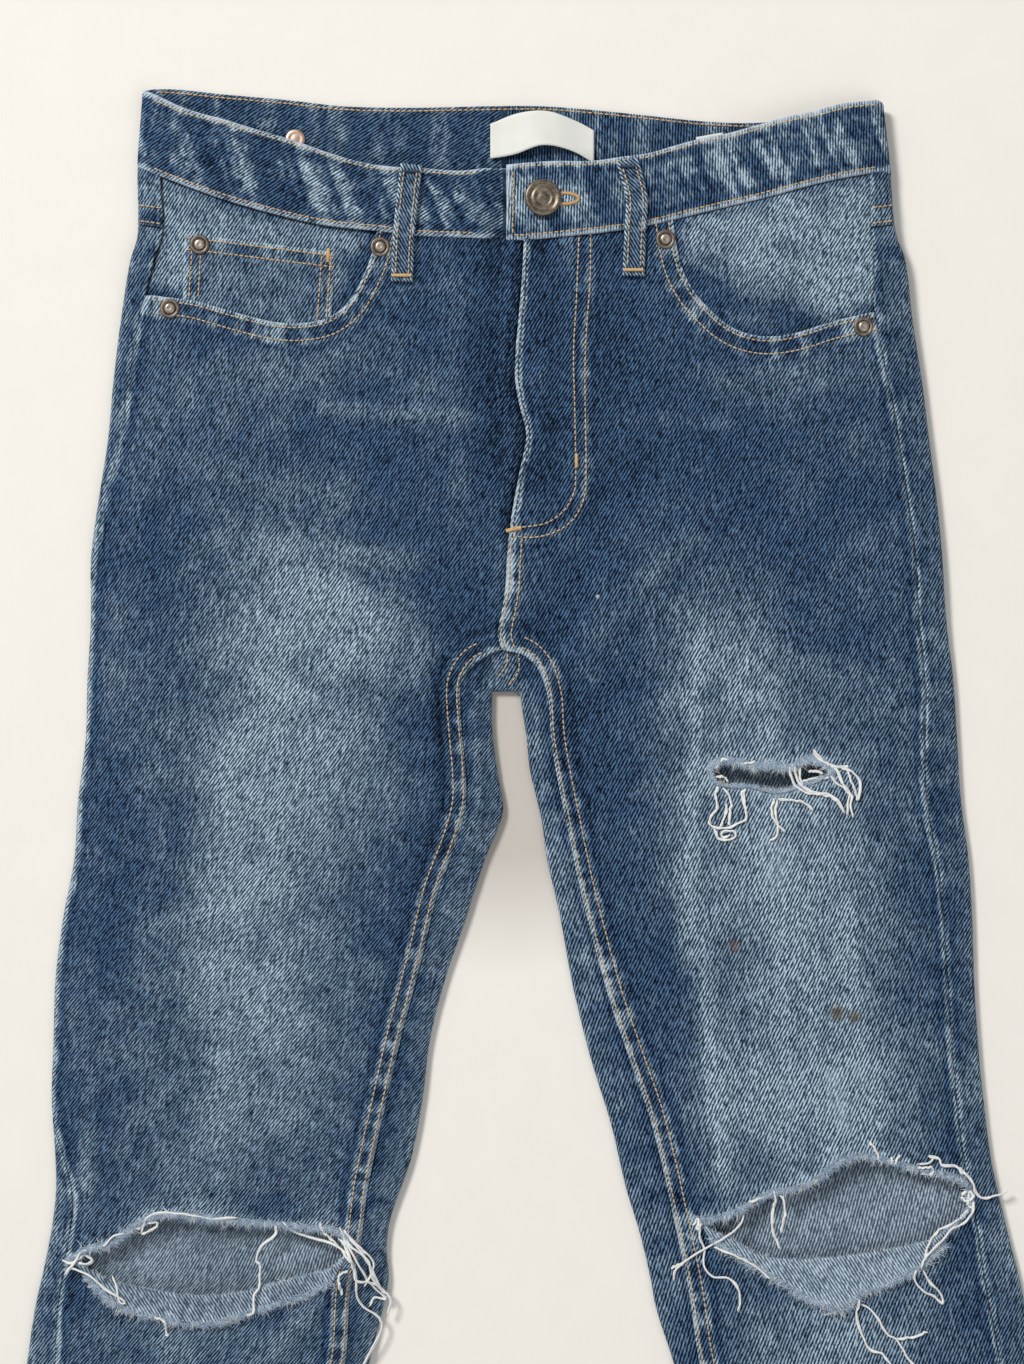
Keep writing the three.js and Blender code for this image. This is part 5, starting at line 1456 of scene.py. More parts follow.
def strap(name, line, height, materials, node, width=LOOP_WIDTH, wall=LOOP_WALL, seed=210):
    """A belt loop: a rounded strip carried along its line, edges rolled and ends tucked down."""
    line = route(line, 1.2)
    tangent = np.gradient(line, axis=0)
    tangent /= np.linalg.norm(tangent, axis=1, keepdims=True)
    aside = np.stack([-tangent[:, 1], tangent[:, 0]], 1)
    rise, depth = band_section(width, wall, 10, 6)
    offset = width / 2 - rise
    spots = line[:, None] + aside[:, None] * offset[None, :, None]
    run = np.arange(len(line)) * 1.2
    length = run[-1]
    bow = np.sin(np.pi * run / length)
    base = height(line[:, 0], line[:, 1], run / length)
    z = base[:, None] + wall - depth[None] + 0.25 * (ripple(run, 7, seed) * bow)[:, None]
    z += 0.35 * bell(np.abs(offset) - width / 2 + 1.4, 1.0)[None] * (depth < wall / 2)[None]
    points = np.concatenate([spots, z[..., None]], -1).reshape(-1, 3)
    around = len(rise)
    groups = lidded(len(line), around)
    faces = groups[0]
    upper = face_directions(points, faces)[:, 2] * np.where(depth[faces[:, 0] % around] < wall / 2, 1, 0)
    if upper.sum() < 0:
        groups = [group[:, ::-1] for group in groups]
    across = (np.abs(offset)[None] + 0 * z).ravel()
    down = (run[:, None] + 0 * z).ravel()
    pale = 0.28 + 0.62 * bell(across - width / 2, 1.5)
    pale = pale + 0.25 * ripple(down, 5, seed + 1) * bell(across - 3.6, 2)
    pale += 0.3 * bell(down - length, 3) + 0.3 * bell(down, 3)
    cloth = Cloth(name)
    cloth.add(points, groups, np.stack([(offset[None] + 0 * z).ravel(), down], -1), pale)
    return cloth.build(materials, [node], "denim")


def turned_metal(name, profile, at, material, node, slot, lean=0.0, segments=72, wave=0.0):
    """Metal turned on its own axis: rings of (radius, height), leant over and set in place."""
    profile = np.array(profile, float)
    angle = np.arange(segments) * 2 * math.pi / segments
    radius, height = profile[:, 0][:, None], profile[:, 1][:, None]
    x, y = radius * np.cos(angle), radius * np.sin(angle)
    z = height + wave * np.sin(angle * 3 + 1) * radius / 10
    x, z = x * math.cos(lean) + z * math.sin(lean), z * math.cos(lean) - x * math.sin(lean)
    points = np.stack([x + at[0], y + at[1], z + at[2]], -1).reshape(-1, 3)
    cloth = Cloth(name)
    cloth.add(points, lidded(len(profile), segments), np.stack([x, y], -1).reshape(-1, 2), 0.5)
    return cloth.build([material], [node], slot)


# ---- Threads ----
def spaced_along(line, pitch):
    """Points every `pitch` along a line, with the direction there."""
    run = run_along(line)
    at = np.arange(pitch / 2, run[-1], pitch)
    spots = sampled(line, run, at)
    ahead = sampled(line, run, at + 0.4) - sampled(line, run, at - 0.4)
    return spots, ahead / np.maximum(np.linalg.norm(ahead, axis=1, keepdims=True), 1e-9)


def beside_line(line, distance):
    """A line moved sideways by a distance: positive is to the left of its direction."""
    line = np.asarray(line, float)
    ahead = np.gradient(line, axis=0)
    ahead /= np.maximum(np.linalg.norm(ahead, axis=1, keepdims=True), 1e-9)
    return line + distance * np.stack([-ahead[:, 1], ahead[:, 0]], 1)


class Thread:
    """Rows of stitches in one colour: each a short capsule bedded in the cloth."""

    def __init__(self, name):
        self.name = name
        self.paths = []

    def row(self, line, height, pitch=3.0, length=2.45, side=1):
        """Stitches along a line [x, y]; height(x, y) is the face they lie on, side -1 its underside."""
        spots, ahead = spaced_along(np.asarray(line, float), pitch)
        reach = np.array([-0.5, -0.3, 0.3, 0.5]) * length
        plan = spots[:, None] + ahead[:, None] * reach[None, :, None]
        z = height(plan[..., 0], plan[..., 1]) + side * np.array([-0.16, 0.16, 0.16, -0.16])
        self.paths.append(np.concatenate([plan, z[..., None]], -1))

    def bar(self, centre, height, width=8.0, deep=1.3, lean=0.0):
        """A bartack: close stitches set across a short bar."""
        across = np.arange(-width / 2, width / 2, 0.55)
        c, s = math.cos(lean), math.sin(lean)
        reach = np.array([-0.5, -0.25, 0.25, 0.5]) * deep
        x = centre[0] + across[:, None] * c - reach[None] * s
        y = centre[1] + across[:, None] * s + reach[None] * c
        z = height(x, y) + np.array([-0.1, 0.25, 0.25, -0.1])
        self.paths.append(np.stack([x, y, z], -1))

    def build(self, material, radius=0.42):
        """All of its stitches as one mesh."""
        cloth = Cloth(self.name)
        cloth.add(*bundle(np.concatenate(self.paths), radius, 5), 0.5)
        return cloth.build([material])


def level(height):
    """A face at one height, or one paleness everywhere."""
    return lambda x, y: 0 * x + height


def seat_under(x, y):
    """The underside of the seat and legs."""
    return seat_lift(y)


def sew():
    """Every row of topstitching, in the colour it is sewn in."""
    tan, gold, dark = Thread("stitches_tan"), Thread("stitches_gold"), Thread("stitches_dark")
    for side, part in SIDES.items():
        sign = part["sign"]

        def face(x, y, side=side):
            """The front being sewn."""
            return front_face(side, x, y)

        inseam = part["inseam"]
        low = inseam[inseam[:, 1] > -478]
        for distance in (1.6, 7.0):
            tan.row(beside_line(low, sign * distance)[10:], face)
        mouth = part["mouth"]
        mouth = mouth[np.abs(mouth[:, 0]) < 190]
        for distance in (2.2, 9.0):
            tan.row(beside_line(mouth, -sign * distance)[2:], face, 2.8, 2.3)
        for distance in (2.6, 11.2):
            x = np.linspace(-290, -135, 80) if side == "right" else np.linspace(180, 330, 80)
            x = x[(x > part_span(side)[0]) & (x < part_span(side)[1])]
            tan.row(np.stack([x, hem_line(side, x) + distance], 1), hem_face)
        for distance in (4.2, 12.4):
            x = side_seam_x(side, np.array(436.0)) + sign * np.arange(0.8, 13, 0.5)
            gold.row(np.stack([x, yoke_line(x) + distance - 2], 1), back_top_face, 2.8, 2.3)
        # the underside: yoke seam, back pocket edges
        x = np.linspace(-5, part["outer"](420.0) - sign * 6, 120)
        for distance in (2.2, 8.0):
            tan.row(np.stack([x, yoke_line(x) + distance], 1), seat_under, side=-1)
        for inset in (2.2, 7.5):
            tan.row(back_pocket_outline(side, inset), level(0.05), side=-1)
    for distance in (2.0, 7.5):
        y = np.arange(200.0, 452, 1)
        tan.row(np.stack([centre_back(y) + distance, y], 1), seat_under, side=-1)

    def left(x, y):
        """The left front's face."""
        return front_face("left", x, y)

    tan.row(J_INNER, left)
    tan.row(J_OUTER, left)
    y = np.arange(425.0, 262, -1)
    dark.row(np.stack([FLY(y) + 1.8, y], 1), left)
    y = np.arange(262.0, 204, -1)
    for distance in (1.7, 7.2):
        tan.row(np.stack([FLY(y) + distance, y], 1), left, 2.8, 2.3)
    gold.bar((0.5, 266.5), left, 8, 2.2, 0.2)
    gold.bar((33.5, 303), left, 7, 1.8, 1.57)
    # the crotch: short rows that carry the seams' stitching round to the back
    tan.row(route([(-3.2, 204), (-3.2, 196), (-8.5, 187.6)], 0.5), bridge_face, 2.8, 2.3)
    tan.row(route([(3, 202), (3, 192), (-2, 184.5)], 0.5), bridge_face, 2.8, 2.3)
    # waistband rows, front and back, inside and out
    for lift, edge in ((2.7, BAND_LOW), (-2.1, BAND_TOP)):
        for start, end in ((OVERLAP_X + 4, 192), (-190, -20)):
            x = np.linspace(start, end, 400)
            (gold if lift > 0 else tan).row(np.stack([x, edge(x) + lift], 1), band_face)
    gold.row(np.stack([0 * np.arange(33) + OVERLAP_X + 3.4, BAND_LOW(0) + 3.4 + np.arange(33)], 1), band_face)
    x = np.linspace(-188, 190, 600)
    gold.row(np.stack([x, BACK_TOP(x) - 2.0], 1), level(SEAT_LIFT - 0.4 + BAND + 0.1))
    for drop in (2.4, 36):
        tan.row(np.stack([x, BACK_TOP(x) - drop], 1), level(SEAT_LIFT - 0.4), side=-1)
    # the coin pocket: two rows under its hem, two down its sides
    under = lambda x, y: ground(x, y) - COIN_BELOW + 0.25
    top = np.array([(-172.5, 422.5), (-94.5, 412.8)])
    for drop in (1.8, 7.8):
        gold.row(top - [0, drop], under, 2.8, 2.3)
    for shift in (1.8, 6.6):
        gold.row(np.array([(-94.3 - shift, 411), (-97.3 - shift, 368)]), under, 2.8, 2.3)
        gold.row(np.array([(-171.0 + shift, 420), (-173 + shift, 388)]), under, 2.8, 2.3)
    gold.bar((-97.5, 411.5), under, 7, 2.0, 1.5)
    # belt loops
    for name, line in FRONT_LOOPS.items():
        line = route(line)
        rise = lambda x, y, name=name: loop_base(x, y) + LOOP_WALL
        for distance in (-3.4, 3.4):
            tan.row(beside_line(line, distance)[4:-5], rise)
        gold.bar((line[-4][0], line[-4][1]), rise, 9.5, 1.8)
        dark.bar((line[4][0], line[4][1]), rise, 8.5, 1.4)
    # the buttonhole: close stitches standing round a slit
    hole = [(24, 443.4), (29, 443.6), (33, 442.4), (34.6, 440.8), (33, 439.4), (29, 438.4), (24, 438.5)]
    line, ahead = spaced_along(route(hole, 0.4), 0.62)
    aside = np.stack([-ahead[:, 1], ahead[:, 0]], 1)
    reach = np.array([-0.6, -0.25, 0.5, 1.3])
    plan = line[:, None] + aside[:, None] * reach[None, :, None]
    z = band_face(plan[..., 0], plan[..., 1]) + np.array([0.1, 0.5, 0.5, 0.0])
    gold.paths.append(np.concatenate([plan, z[..., None]], -1))
    for y in (241.0, 161.0):
        dark.bar((float(side_seam_x("left", np.array(y)) - 1.0), y), left, 6, 1.4, 1.57)
    return tan, gold, dark


def part_span(side):
    """Where a hem's stitches start and end in x: 6 mm in from the leg's two folds."""
    edges = sorted(float(SIDES[side][fold](LEG_END_Y)) for fold in ("outer", "inner"))
    return edges[0] + 6, edges[1] - 6


def hem_face(x, y):
    """The rolled hem's face, 1.6 above the leg's."""
    return top_face(x, y) + slack(x, y) + 1.6


def back_top_face(x, y):
    """The yoke's strip on top, where its two rows are sewn."""
    return ground(x, y) + back_relief(x, y) + 0.25


def bridge_face(x, y):
    """A back's face where it shows on top."""
    return ground(x, y) + back_relief(x, y)


def loop_base(x, y, share=0.5):
    """What a front belt loop lies on: the band, and below it the fronts, with its ends tucked in."""
    on_band = ease(y, BAND_LOW(x) - 3, BAND_LOW(x) + 3)
    return ground(x, y) + 0.5 + 0.8 * on_band + 0.9 * bell(share - 0.5, 0.3)


def back_pocket_outline(side, inset):
    """The back pocket's five corners, drawn in by an inset and turned into place."""
    cx, cy, lean = BACK_POCKET_AT[side]
    w, k = 1 - inset / 67, 1 - inset / 71
    half = [(67 * w, 74 - inset), (61 * w, -48 * k)]
    corners = [*half, (0, -68 * k), *[(-x, y) for x, y in half[::-1]]]
    return turned(corners, cx, cy, lean)


def fray(side, count, seed, longest):
    """Short torn fibres: each starts by a tear's edge, leans into the hole and curls as it goes.

    Their lengths are longest * (0.25 to 1)^1.5, shorter on edges that face up; they thin out and
    bunch along the edge with a wandering wave.
    """
    rng = np.random.default_rng(seed)
    paths = []
    lip_edge = route(SIDES[side]["knee_lip"])
    total = sum(len(t) for t in TEARS[side])
    for tear in [*TEARS[side], None]:
        crowded = 1.0 if tear is None or len(tear) > 200 else 2.6  # the small tear frays the most
        on_lip = tear is None
        closed = lip_edge if on_lip else looped(tear)
        outline = np.vstack([lip_edge, lip_edge[::-1] - [0, 9]]) if on_lip else tear
        spots, ahead = spaced_along(closed, 0.05)
        chosen = rng.integers(0, len(spots), int(count * (0.3 if on_lip else crowded * len(tear) / total)))
        tuft = ripple(chosen * 0.05, 2.2, seed + 7)
        spots, ahead = spots[chosen], ahead[chosen]
        aside = np.stack([-ahead[:, 1], ahead[:, 0]], 1)
        probe = spots + aside * 1.5
        aside[~contains(outline, probe[:, 0], probe[:, 1])] *= -1
        upper = aside[:, 1] < 0.1
        swing = rng.normal(0, 0.6, len(spots)) + 0.5 * tuft
        lean = aside * np.cos(swing)[:, None] + ahead * np.sin(swing)[:, None]
        length = rng.uniform(0.25, 1, len(spots)) ** 1.5 * np.where(upper, longest, longest * 0.5)
        length *= 1 + 0.35 * tuft
        start = -aside * rng.uniform(-0.2, 2.2, (len(spots), 1)) * np.where(upper, 1, 0.5)[:, None]
        t = np.linspace(0, 1, 4)
        bend = np.stack([-lean[:, 1], lean[:, 0]], 1) * rng.normal(0, 0.45, (len(spots), 1))
        curl = lean[:, None] * t[:, None] + bend[:, None] * (t**2)[:, None]
        plan = (spots + start)[:, None] + curl * length[:, None, None]
        lift = rng.uniform(0.1, 1.1, (len(spots), 1)) * np.sin(np.pi * t)
        rise = lift - t**2 * rng.uniform(0, 1.0, (len(spots), 1))
        base = front_face(side, spots[:, 0], spots[:, 1])[:, None] + (1.8 if on_lip else 0.2)
        paths.append(np.concatenate([plan, (base + rise)[..., None]], -1))
    return np.concatenate(paths)


def resampled(line, knots):
    """A smooth line through the given points, as a set number of even ones."""
    line = route(line, 0.5)
    return sampled(line, np.arange(len(line)), np.linspace(0, len(line) - 1, knots))


def loose_yarns():
    """The white cross-yarns left hanging in and about the tears, each laid along its own line."""
    paths = []
    rng = np.random.default_rng(9)
    for side, lines in (("right", KNEE_RIGHT_YARNS), ("left", KNEE_LEFT_YARNS + THIGH_YARNS)):
        for line in lines:
            plan = resampled(line, 34)
            z = front_face(side, plan[:, 0], plan[:, 1]) + 0.45
            inside = sum(contains(tear, plan[:, 0], plan[:, 1]) for tear in TEARS[side])
            along = np.linspace(0, 1, len(plan))
            below = plan[:, 1] < np.interp(plan[:, 0], *by_x(SIDES[side]["knee_fold"])) + 2
            above_lip = plan[:, 1] > np.interp(plan[:, 0], *by_x(SIDES[side]["knee_lip"])) - 3
            z = z + np.where(below & above_lip & (np.abs(plan[:, 1] + 118) < 45), 2.4, 0)
            soft = np.convolve(np.pad(z - inside * 1.2, 3, mode="edge"), np.ones(7) / 7, "valid")
            soft += 0.5 * ripple(along * 9 + rng.uniform(0, 90), 1, 300)
            paths.append(np.c_[plan, soft + 0.3])
            twin = 0.7 * np.stack([ripple(along * 12, 1, len(paths) + more) for more in (0, 50)], 1)
            paths.append(np.c_[plan + twin, soft + 0.7])
    return np.stack(paths)


def by_x(line):
    """A line's x and y in order of x, as np.interp takes them."""
    return np.array(sorted(line)).T


# ---- Finishes ----
def tone(red, green, blue):
    """A colour given in 0-255 steps, made linear."""
    steps = np.array([red, green, blue]) / 255
    return (*np.where(steps <= 0.04045, steps / 12.92, ((steps + 0.055) / 1.055) ** 2.4).tolist(), 1.0)


class Signal:
    """A shader socket that can be written as arithmetic."""

    def __init__(self, finish, socket):
        self.finish, self.socket = finish, socket

    def __add__(self, other):
        return self.finish.math("ADD", self, other)

    def __sub__(self, other):
        return self.finish.math("SUBTRACT", self, other)

    def __rsub__(self, other):
        return self.finish.math("SUBTRACT", other, self)

    def __mul__(self, other):
        return self.finish.math("MULTIPLY", self, other)

    def __truediv__(self, other):
        return self.finish.math("DIVIDE", self, other)

    __radd__, __rmul__ = __add__, __mul__

    def clamped(self, low=0.0, high=1.0):
        """The value held between low and high."""
        return self.finish.math("MINIMUM", self.finish.math("MAXIMUM", self, low), high)


class Finish:
    """A material being mixed: its nodes, and the surface they end in."""

    def __init__(self, name):
        self.material = bpy.data.materials.new(name)
        self.material.use_nodes = True
        self.tree = self.material.node_tree
        self.tree.nodes.clear()

    def node(self, kind, settings=None, inputs=None):
        """A node of a kind: its settings first, then the values or links of its sockets."""
        made = self.tree.nodes.new(kind)
        for key, value in (settings or {}).items():
            setattr(made, key, value)
        for key, value in (inputs or {}).items():
            if isinstance(value, Signal):
                self.tree.links.new(value.socket, made.inputs[key])
            else:
                made.inputs[key].default_value = value
        return made

    def signal(self, kind, output, settings=None, inputs=None):
        """One output of a new node."""
        return Signal(self, self.node(kind, settings, inputs).outputs[output])

    def math(self, operation, first, second):
        """A Math node on two numbers or sockets."""
        return self.signal("ShaderNodeMath", 0, {"operation": operation}, {0: first, 1: second})

    def wave(self, value):
        """sin, brought into 0 to 1."""
        return self.signal("ShaderNodeMath", 0, {"operation": "SINE"}, {0: value}) * 0.5 + 0.5

    def mix(self, share, first, second):
        """first * (1 - share) + second * share, for colours."""
        return self.signal("ShaderNodeMix", 2, {"data_type": "RGBA"}, {0: share, 6: first, 7: second})

    def noise(self, vector, scale, detail=2.0, roughness=0.55):
        """Soft noise in 0 to 1, `scale` blotches to a metre."""
        inputs = {"Vector": vector, "Scale": scale, "Detail": detail, "Roughness": roughness}
        return self.signal("ShaderNodeTexNoise", "Fac", {"noise_dimensions": "3D"}, inputs)

    def stretched(self, vector, across, along, lean):
        """A vector measured along and across a direction, each times its own fineness."""
        inputs = {"Vector": vector, "Rotation": (0, 0, lean), "Scale": (1 / along, 1 / across, 1)}
        return self.signal("ShaderNodeMapping", 0, {"vector_type": "TEXTURE"}, inputs)

    def spot(self, place, centre, radius):
        """1 at a centre in the row frame, fading to 0 at a radius; both in millimetres."""
        at = ((centre[0] + WAIST_X) * 0.001, centre[1] * 0.001, 0.0)
        flat = self.signal("ShaderNodeVectorMath", 0, {"operation": "MULTIPLY"}, {0: place, 1: (1, 1, 0)})
        away = self.signal("ShaderNodeVectorMath", "Value", {"operation": "DISTANCE"}, {0: flat, 1: at})
        return (1 - away / (radius * 0.001)).clamped()

    def weave(self):
        """The weave's coordinates in metres: the whole vector, u and v."""
        vector = self.signal("ShaderNodeUVMap", 0, {"uv_map": "weave"})
        parts = self.node("ShaderNodeSeparateXYZ", None, {0: vector})
        return vector, Signal(self, parts.outputs[0]), Signal(self, parts.outputs[1])

    def close(self, inputs, height=None, strength=0.5, distance=0.0003):
        """The finished surface; a height adds fine relief."""
        if height is not None:
            relief = {"Strength": strength, "Distance": distance, "Height": height}
            inputs = {**inputs, "Normal": self.signal("ShaderNodeBump", 0, None, relief)}
        surface = self.node("ShaderNodeBsdfPrincipled", None, inputs)
        end = self.node("ShaderNodeOutputMaterial")
        self.tree.links.new(surface.outputs[0], end.inputs[0])
        return self.material


def denim(name, mirrored=False, shift=0.0):
    """Right-hand twill: ribs at 57 degrees to the fill, broken into dashes by the warp's slubs.

    Rib = sin(2 pi (u sin 57 - v cos 57) / pitch). The share of pale thread is the rib plus stretched
    noise; dark and pale thread colours both lighten with the cloth's wear, and its paleness also carries painted
    shade, which darkens them.
    """
    finish = Finish(name)
    weave, u, v = finish.weave()
    place_at = finish.signal("ShaderNodeTexCoord", "Object")
    if mirrored:
        u = u * -1.0
        weave = finish.signal("ShaderNodeCombineXYZ", 0, None, {0: u, 1: v})
    # paleness of the cloth: its wear, and painted shade where it runs low
    wear_and_shade = finish.signal("ShaderNodeAttribute", "Fac", {"attribute_name": "pale"})
    lean = math.radians(57)
    pitch = TWILL_PITCH * 0.001
    wander = finish.noise(weave, 70.0, 1.0) * 2.6 + finish.noise(weave, 190.0, 1.0) * 1.6
    phase = (u * math.sin(lean) - v * math.cos(lean)) * (2 * math.pi / pitch)
    rib = finish.wave(phase + wander)
    dashes = finish.noise(finish.stretched(weave, 800.0, 300.0, lean), 1.0, 1.0)
    slubs = finish.noise(finish.stretched(weave, 800.0, 110.0, math.pi / 2), 1.0, 1.0)
    fine = finish.noise(place_at, 900.0, 1.0)
    blotch = finish.noise(place_at, 120.0, 3.0)
    wear_and_shade = wear_and_shade + (blotch - 0.5) * 0.42 + (slubs - 0.5) * 0.36 + shift
    # painted shade: paleness below 0, mostly the dark lines painted beside seams, under the band and in folds, also
    # cuts the share of pale thread
    shade_and_deep_dye = wear_and_shade.clamped(-0.6, 0.0) * 0.7
    share = (rib - 0.5) * 1.25 + (dashes - 0.5) * 2.4 + (slubs - 0.5) * 1.2
    share = (share + (fine - 0.5) * 0.8 + shade_and_deep_dye + 0.33).clamped()
    level = finish.math("POWER", (wear_and_shade * 1.45).clamped(0.0, 1.4), 1.7)
    if mirrored:
        dark = finish.mix(level.clamped(), tone(46, 60, 76), tone(76, 94, 112))
        pale = finish.mix(level.clamped(), tone(140, 156, 172), tone(190, 206, 220))
    else:
        dark = finish.mix(level.clamped(), tone(2, 11, 30), tone(34, 56, 76))
        pale = finish.mix(level.clamped(), tone(76, 108, 144), tone(184, 206, 222))
    colour = finish.mix(share, dark, pale)
    bleached = ((wear_and_shade - 0.8) * 0.8).clamped(0.0, 0.75)
    colour = finish.mix(bleached, colour, tone(196, 208, 220))
    if not mirrored:
        brown = finish.spot(place_at, (117, 46.6), 5.0) * 0.75
        olive = finish.spot(place_at, (171.2, 11), 6.0) + finish.spot(place_at, (180.7, 9), 5.0)
        fleck = finish.spot(place_at, (44.5, 231), 2.2)
        patchy = finish.noise(place_at, 500.0, 2.0) * 1.4
        colour = finish.mix((brown * patchy * 1.2).clamped(0.0, 0.75), colour, tone(90, 60, 38))
        colour = finish.mix((olive * patchy * 1.3).clamped(0.0, 0.8), colour, tone(82, 72, 40))
        colour = finish.mix((fleck * patchy * 2.4 - 0.7).clamped(), colour, tone(226, 232, 236))
    relief = rib * 0.55 + dashes * 0.5 + slubs * 0.5
    inputs = {"Base Color": colour, "Roughness": 0.9, "Specular IOR Level": 0.12}
    return finish.close(inputs, relief, 0.8, 0.0004)


def yarn(name, low, high, roughness=0.8):
    """Twisted thread: light and dark plies wound round it, with a little dirt."""
    finish = Finish(name)
    _, u, v = finish.weave()
    ply = finish.wave((v * 1.0 + u * 0.8) * (2 * math.pi / 0.0007))
    dirt = finish.noise(finish.signal("ShaderNodeTexCoord", "Object"), 260.0, 3.0)
    share = (ply * 0.5 + dirt * 1.1 - 0.25).clamped()
    inputs = {"Base Color": finish.mix(share, low, high), "Roughness": roughness, "Specular IOR Level": 0.3}
    return finish.close(inputs, ply, 0.4, 0.0001)


def metal(name, low, high, roughness):
    """Old plated metal: brown in its hollows, rubbed pale, pitted and uneven in shine."""
    finish = Finish(name)
    at = finish.signal("ShaderNodeTexCoord", "Object")
    cloud = finish.noise(at, 420.0, 4.0, 0.65)
    pits = finish.noise(at, 1600.0, 3.0, 0.6)
    share = (cloud * 1.5 + pits * 0.5 - 0.5).clamped()
    dull = (roughness + (cloud - 0.5) * 0.3).clamped(0.15, 0.9)
    inputs = {"Base Color": finish.mix(share, low, high), "Metallic": 0.85, "Roughness": dull}
    return finish.close(inputs, pits, 0.25, 0.00015)


def label_cloth(name):
    """White woven tape: fine cross ribs, slightly soiled."""
    finish = Finish(name)
    _, u, v = finish.weave()
    ribs = finish.wave(v * (2 * math.pi / 0.0006)) * 0.6 + finish.wave(u * (2 * math.pi / 0.0005)) * 0.4
    soil = finish.noise(finish.signal("ShaderNodeTexCoord", "Object"), 90.0, 3.0)
    share = (ribs * 0.45 + soil * 0.6).clamped()
    inputs = {"Base Color": finish.mix(share, tone(206, 206, 198), tone(240, 241, 236)), "Roughness": 0.8}
    return finish.close(inputs, ribs, 0.4, 0.0002)


def floor_paper(name):
    """Pale paper with a faint tooth, and a painted shadow darkening it where the legs part."""
    finish = Finish(name)
    at = finish.signal("ShaderNodeTexCoord", "Object")
    tooth = finish.noise(at, 40.0, 3.0)
    paper = finish.mix(tooth, tone(233, 229, 222), tone(238, 234, 227))
    # painted shadow: a dark spot on the paper between the legs, standing in for the shade that falls there
    painted_shadow = (finish.spot(at, (-4, 150), 120.0) * 1.5).clamped(0.0, 0.8)
    inputs = {"Base Color": finish.mix(painted_shadow, paper, tone(184, 176, 168)), "Roughness": 0.9}
    return finish.close(inputs)


# ---- Making everything ----
cloth_finishes = [denim("denim_face"), denim("denim_reverse", mirrored=True), denim("denim_cut", shift=0.5)]
tan_thread = yarn("thread_tan", tone(150, 124, 92), tone(226, 202, 164))
gold_thread = yarn("thread_gold", tone(156, 118, 74), tone(232, 198, 146))
dark_thread = yarn("thread_dark", tone(22, 34, 54), tone(70, 84, 104))
white_yarn = yarn("yarn_white", tone(206, 208, 206), tone(244, 245, 243))
blue_yarn = yarn("yarn_blue", tone(104, 134, 166), tone(200, 217, 232))
bronze = metal("metal_button", tone(62, 55, 48), tone(166, 152, 134), 0.42)
dark_bronze = metal("metal_rivet", tone(60, 54, 49), tone(158, 146, 134), 0.48)
bright_bronze = metal("metal_rivet_nub", tone(128, 118, 106), tone(204, 192, 178), 0.36)
copper = metal("metal_tack", tone(176, 140, 122), tone(228, 200, 184), 0.42)

sheets = []
for side in SIDES:
    sheets.append((front_panel(side, cloth_finishes), (0.22, 0.93), 0.152))
    sheets.append((back_panel(side, cloth_finishes), (0.27, 0.90), 0.2))
    sheets.append((yoke(side, cloth_finishes), (0.23, 0.068), 0.009))
    sheets.append((hem(side, cloth_finishes), (0.345, 0.014), 0.0048))

# pocket facings, coin pocket and fly shield, under the fronts
facing_depth = {"right": 3.0, "left": 1.5}
# per side: the pocket's gape line, a base paleness and the strength of the painted shadow along the gape
facing_gape_shadows = {
    "right": ([(-82, 408), (-92, 392), (-108, 384)], 0.62, 0.3),
    "left": ([(100, 400), (118, 386), (152, 378)], 0.7, 0.6),
}
for side, line in (("right", FACING_RIGHT), ("left", FACING_LEFT)):
    y = np.linspace(362, 452, 30)
    seam = np.stack([side_seam_x(side, y) + SIDES[side]["sign"] * 0.5, y], 1)
    x = np.linspace(seam[-1, 0], line[0][0], 30)
    outline = np.vstack([route(line[1:-1]), seam, np.stack([x, BAND_LOW(x) + 1.0], 1)])

    def lie(x, y, side=side):
        """The ground less its depth, loosely rumpled, drawn down under the band and the mouth."""
        mouth, _ = beside(x, y, SIDES[side]["mouth"], 30)
        band = 0.8 * ease(y, BAND_LOW(x) - 2, BAND_LOW(x) + 1)
        height = ground(x, y) - facing_depth[side] + 0.9 + 0.3 * cloudy(x, y, 12, 220)
        return height - band - 0.5 * bell(mouth, 4)

    def facing_pale(x, y, side=side):
        """Pale and streaky, with painted shadow along its gape and close under the band and the mouth."""
        mouth, _ = beside(x, y, SIDES[side]["mouth"], 30)
        low = BAND_LOW(x) - y
        gape, base, dark = facing_gape_shadows[side]
        deep, _ = beside(x, y, np.array(gape, float), 30)
        drawn = cloudy(0.2 * x - 0.1 * y, y + 0.35 * x, 5, 222)
        # painted shadow: darker along the gape, where the pocket opens
        pale = base - dark * bell(deep, 9) + 0.14 * cloudy(x, y, 16, 221) + 0.16 * drawn
        # painted shadow: darker close under the band and under the pocket mouth
        return pale - 0.3 * bell(low, 6) - 0.5 * bell(mouth, 6)

    node = f"pocket_facing_{side}"
    piece = patch(f"{node}_cloth", outline, lie, facing_pale, cloth_finishes, node)
    sheets.append((piece, (0.14, 0.10), 0.0102))


def coin_height(x, y):
    """The coin pocket's face: under the front, pressed down at its edge and puckered beside it."""
    edge, _ = beside(x, y, COIN_EDGE, 30)
    height = ground(x, y) - COIN_BELOW + 0.3 - 0.5 * bell(edge, 1.2)
    return height + 0.3 * ripple(x + y, 7, 230) * np.exp(-edge / 6)


def coin_pale(x, y):
    """Wear of the coin pocket: its edge rubbed pale, barred light and dark across its rows."""
    edge, along = beside(x, y, COIN_EDGE, 30)
    pale = 0.34 + 0.7 * bell(edge, 1.3) + 0.3 * ripple(along, 4, 231) * flat_top(edge, 7, 2)
    return pale + 0.12 * cloudy(x, y, 8, 232)


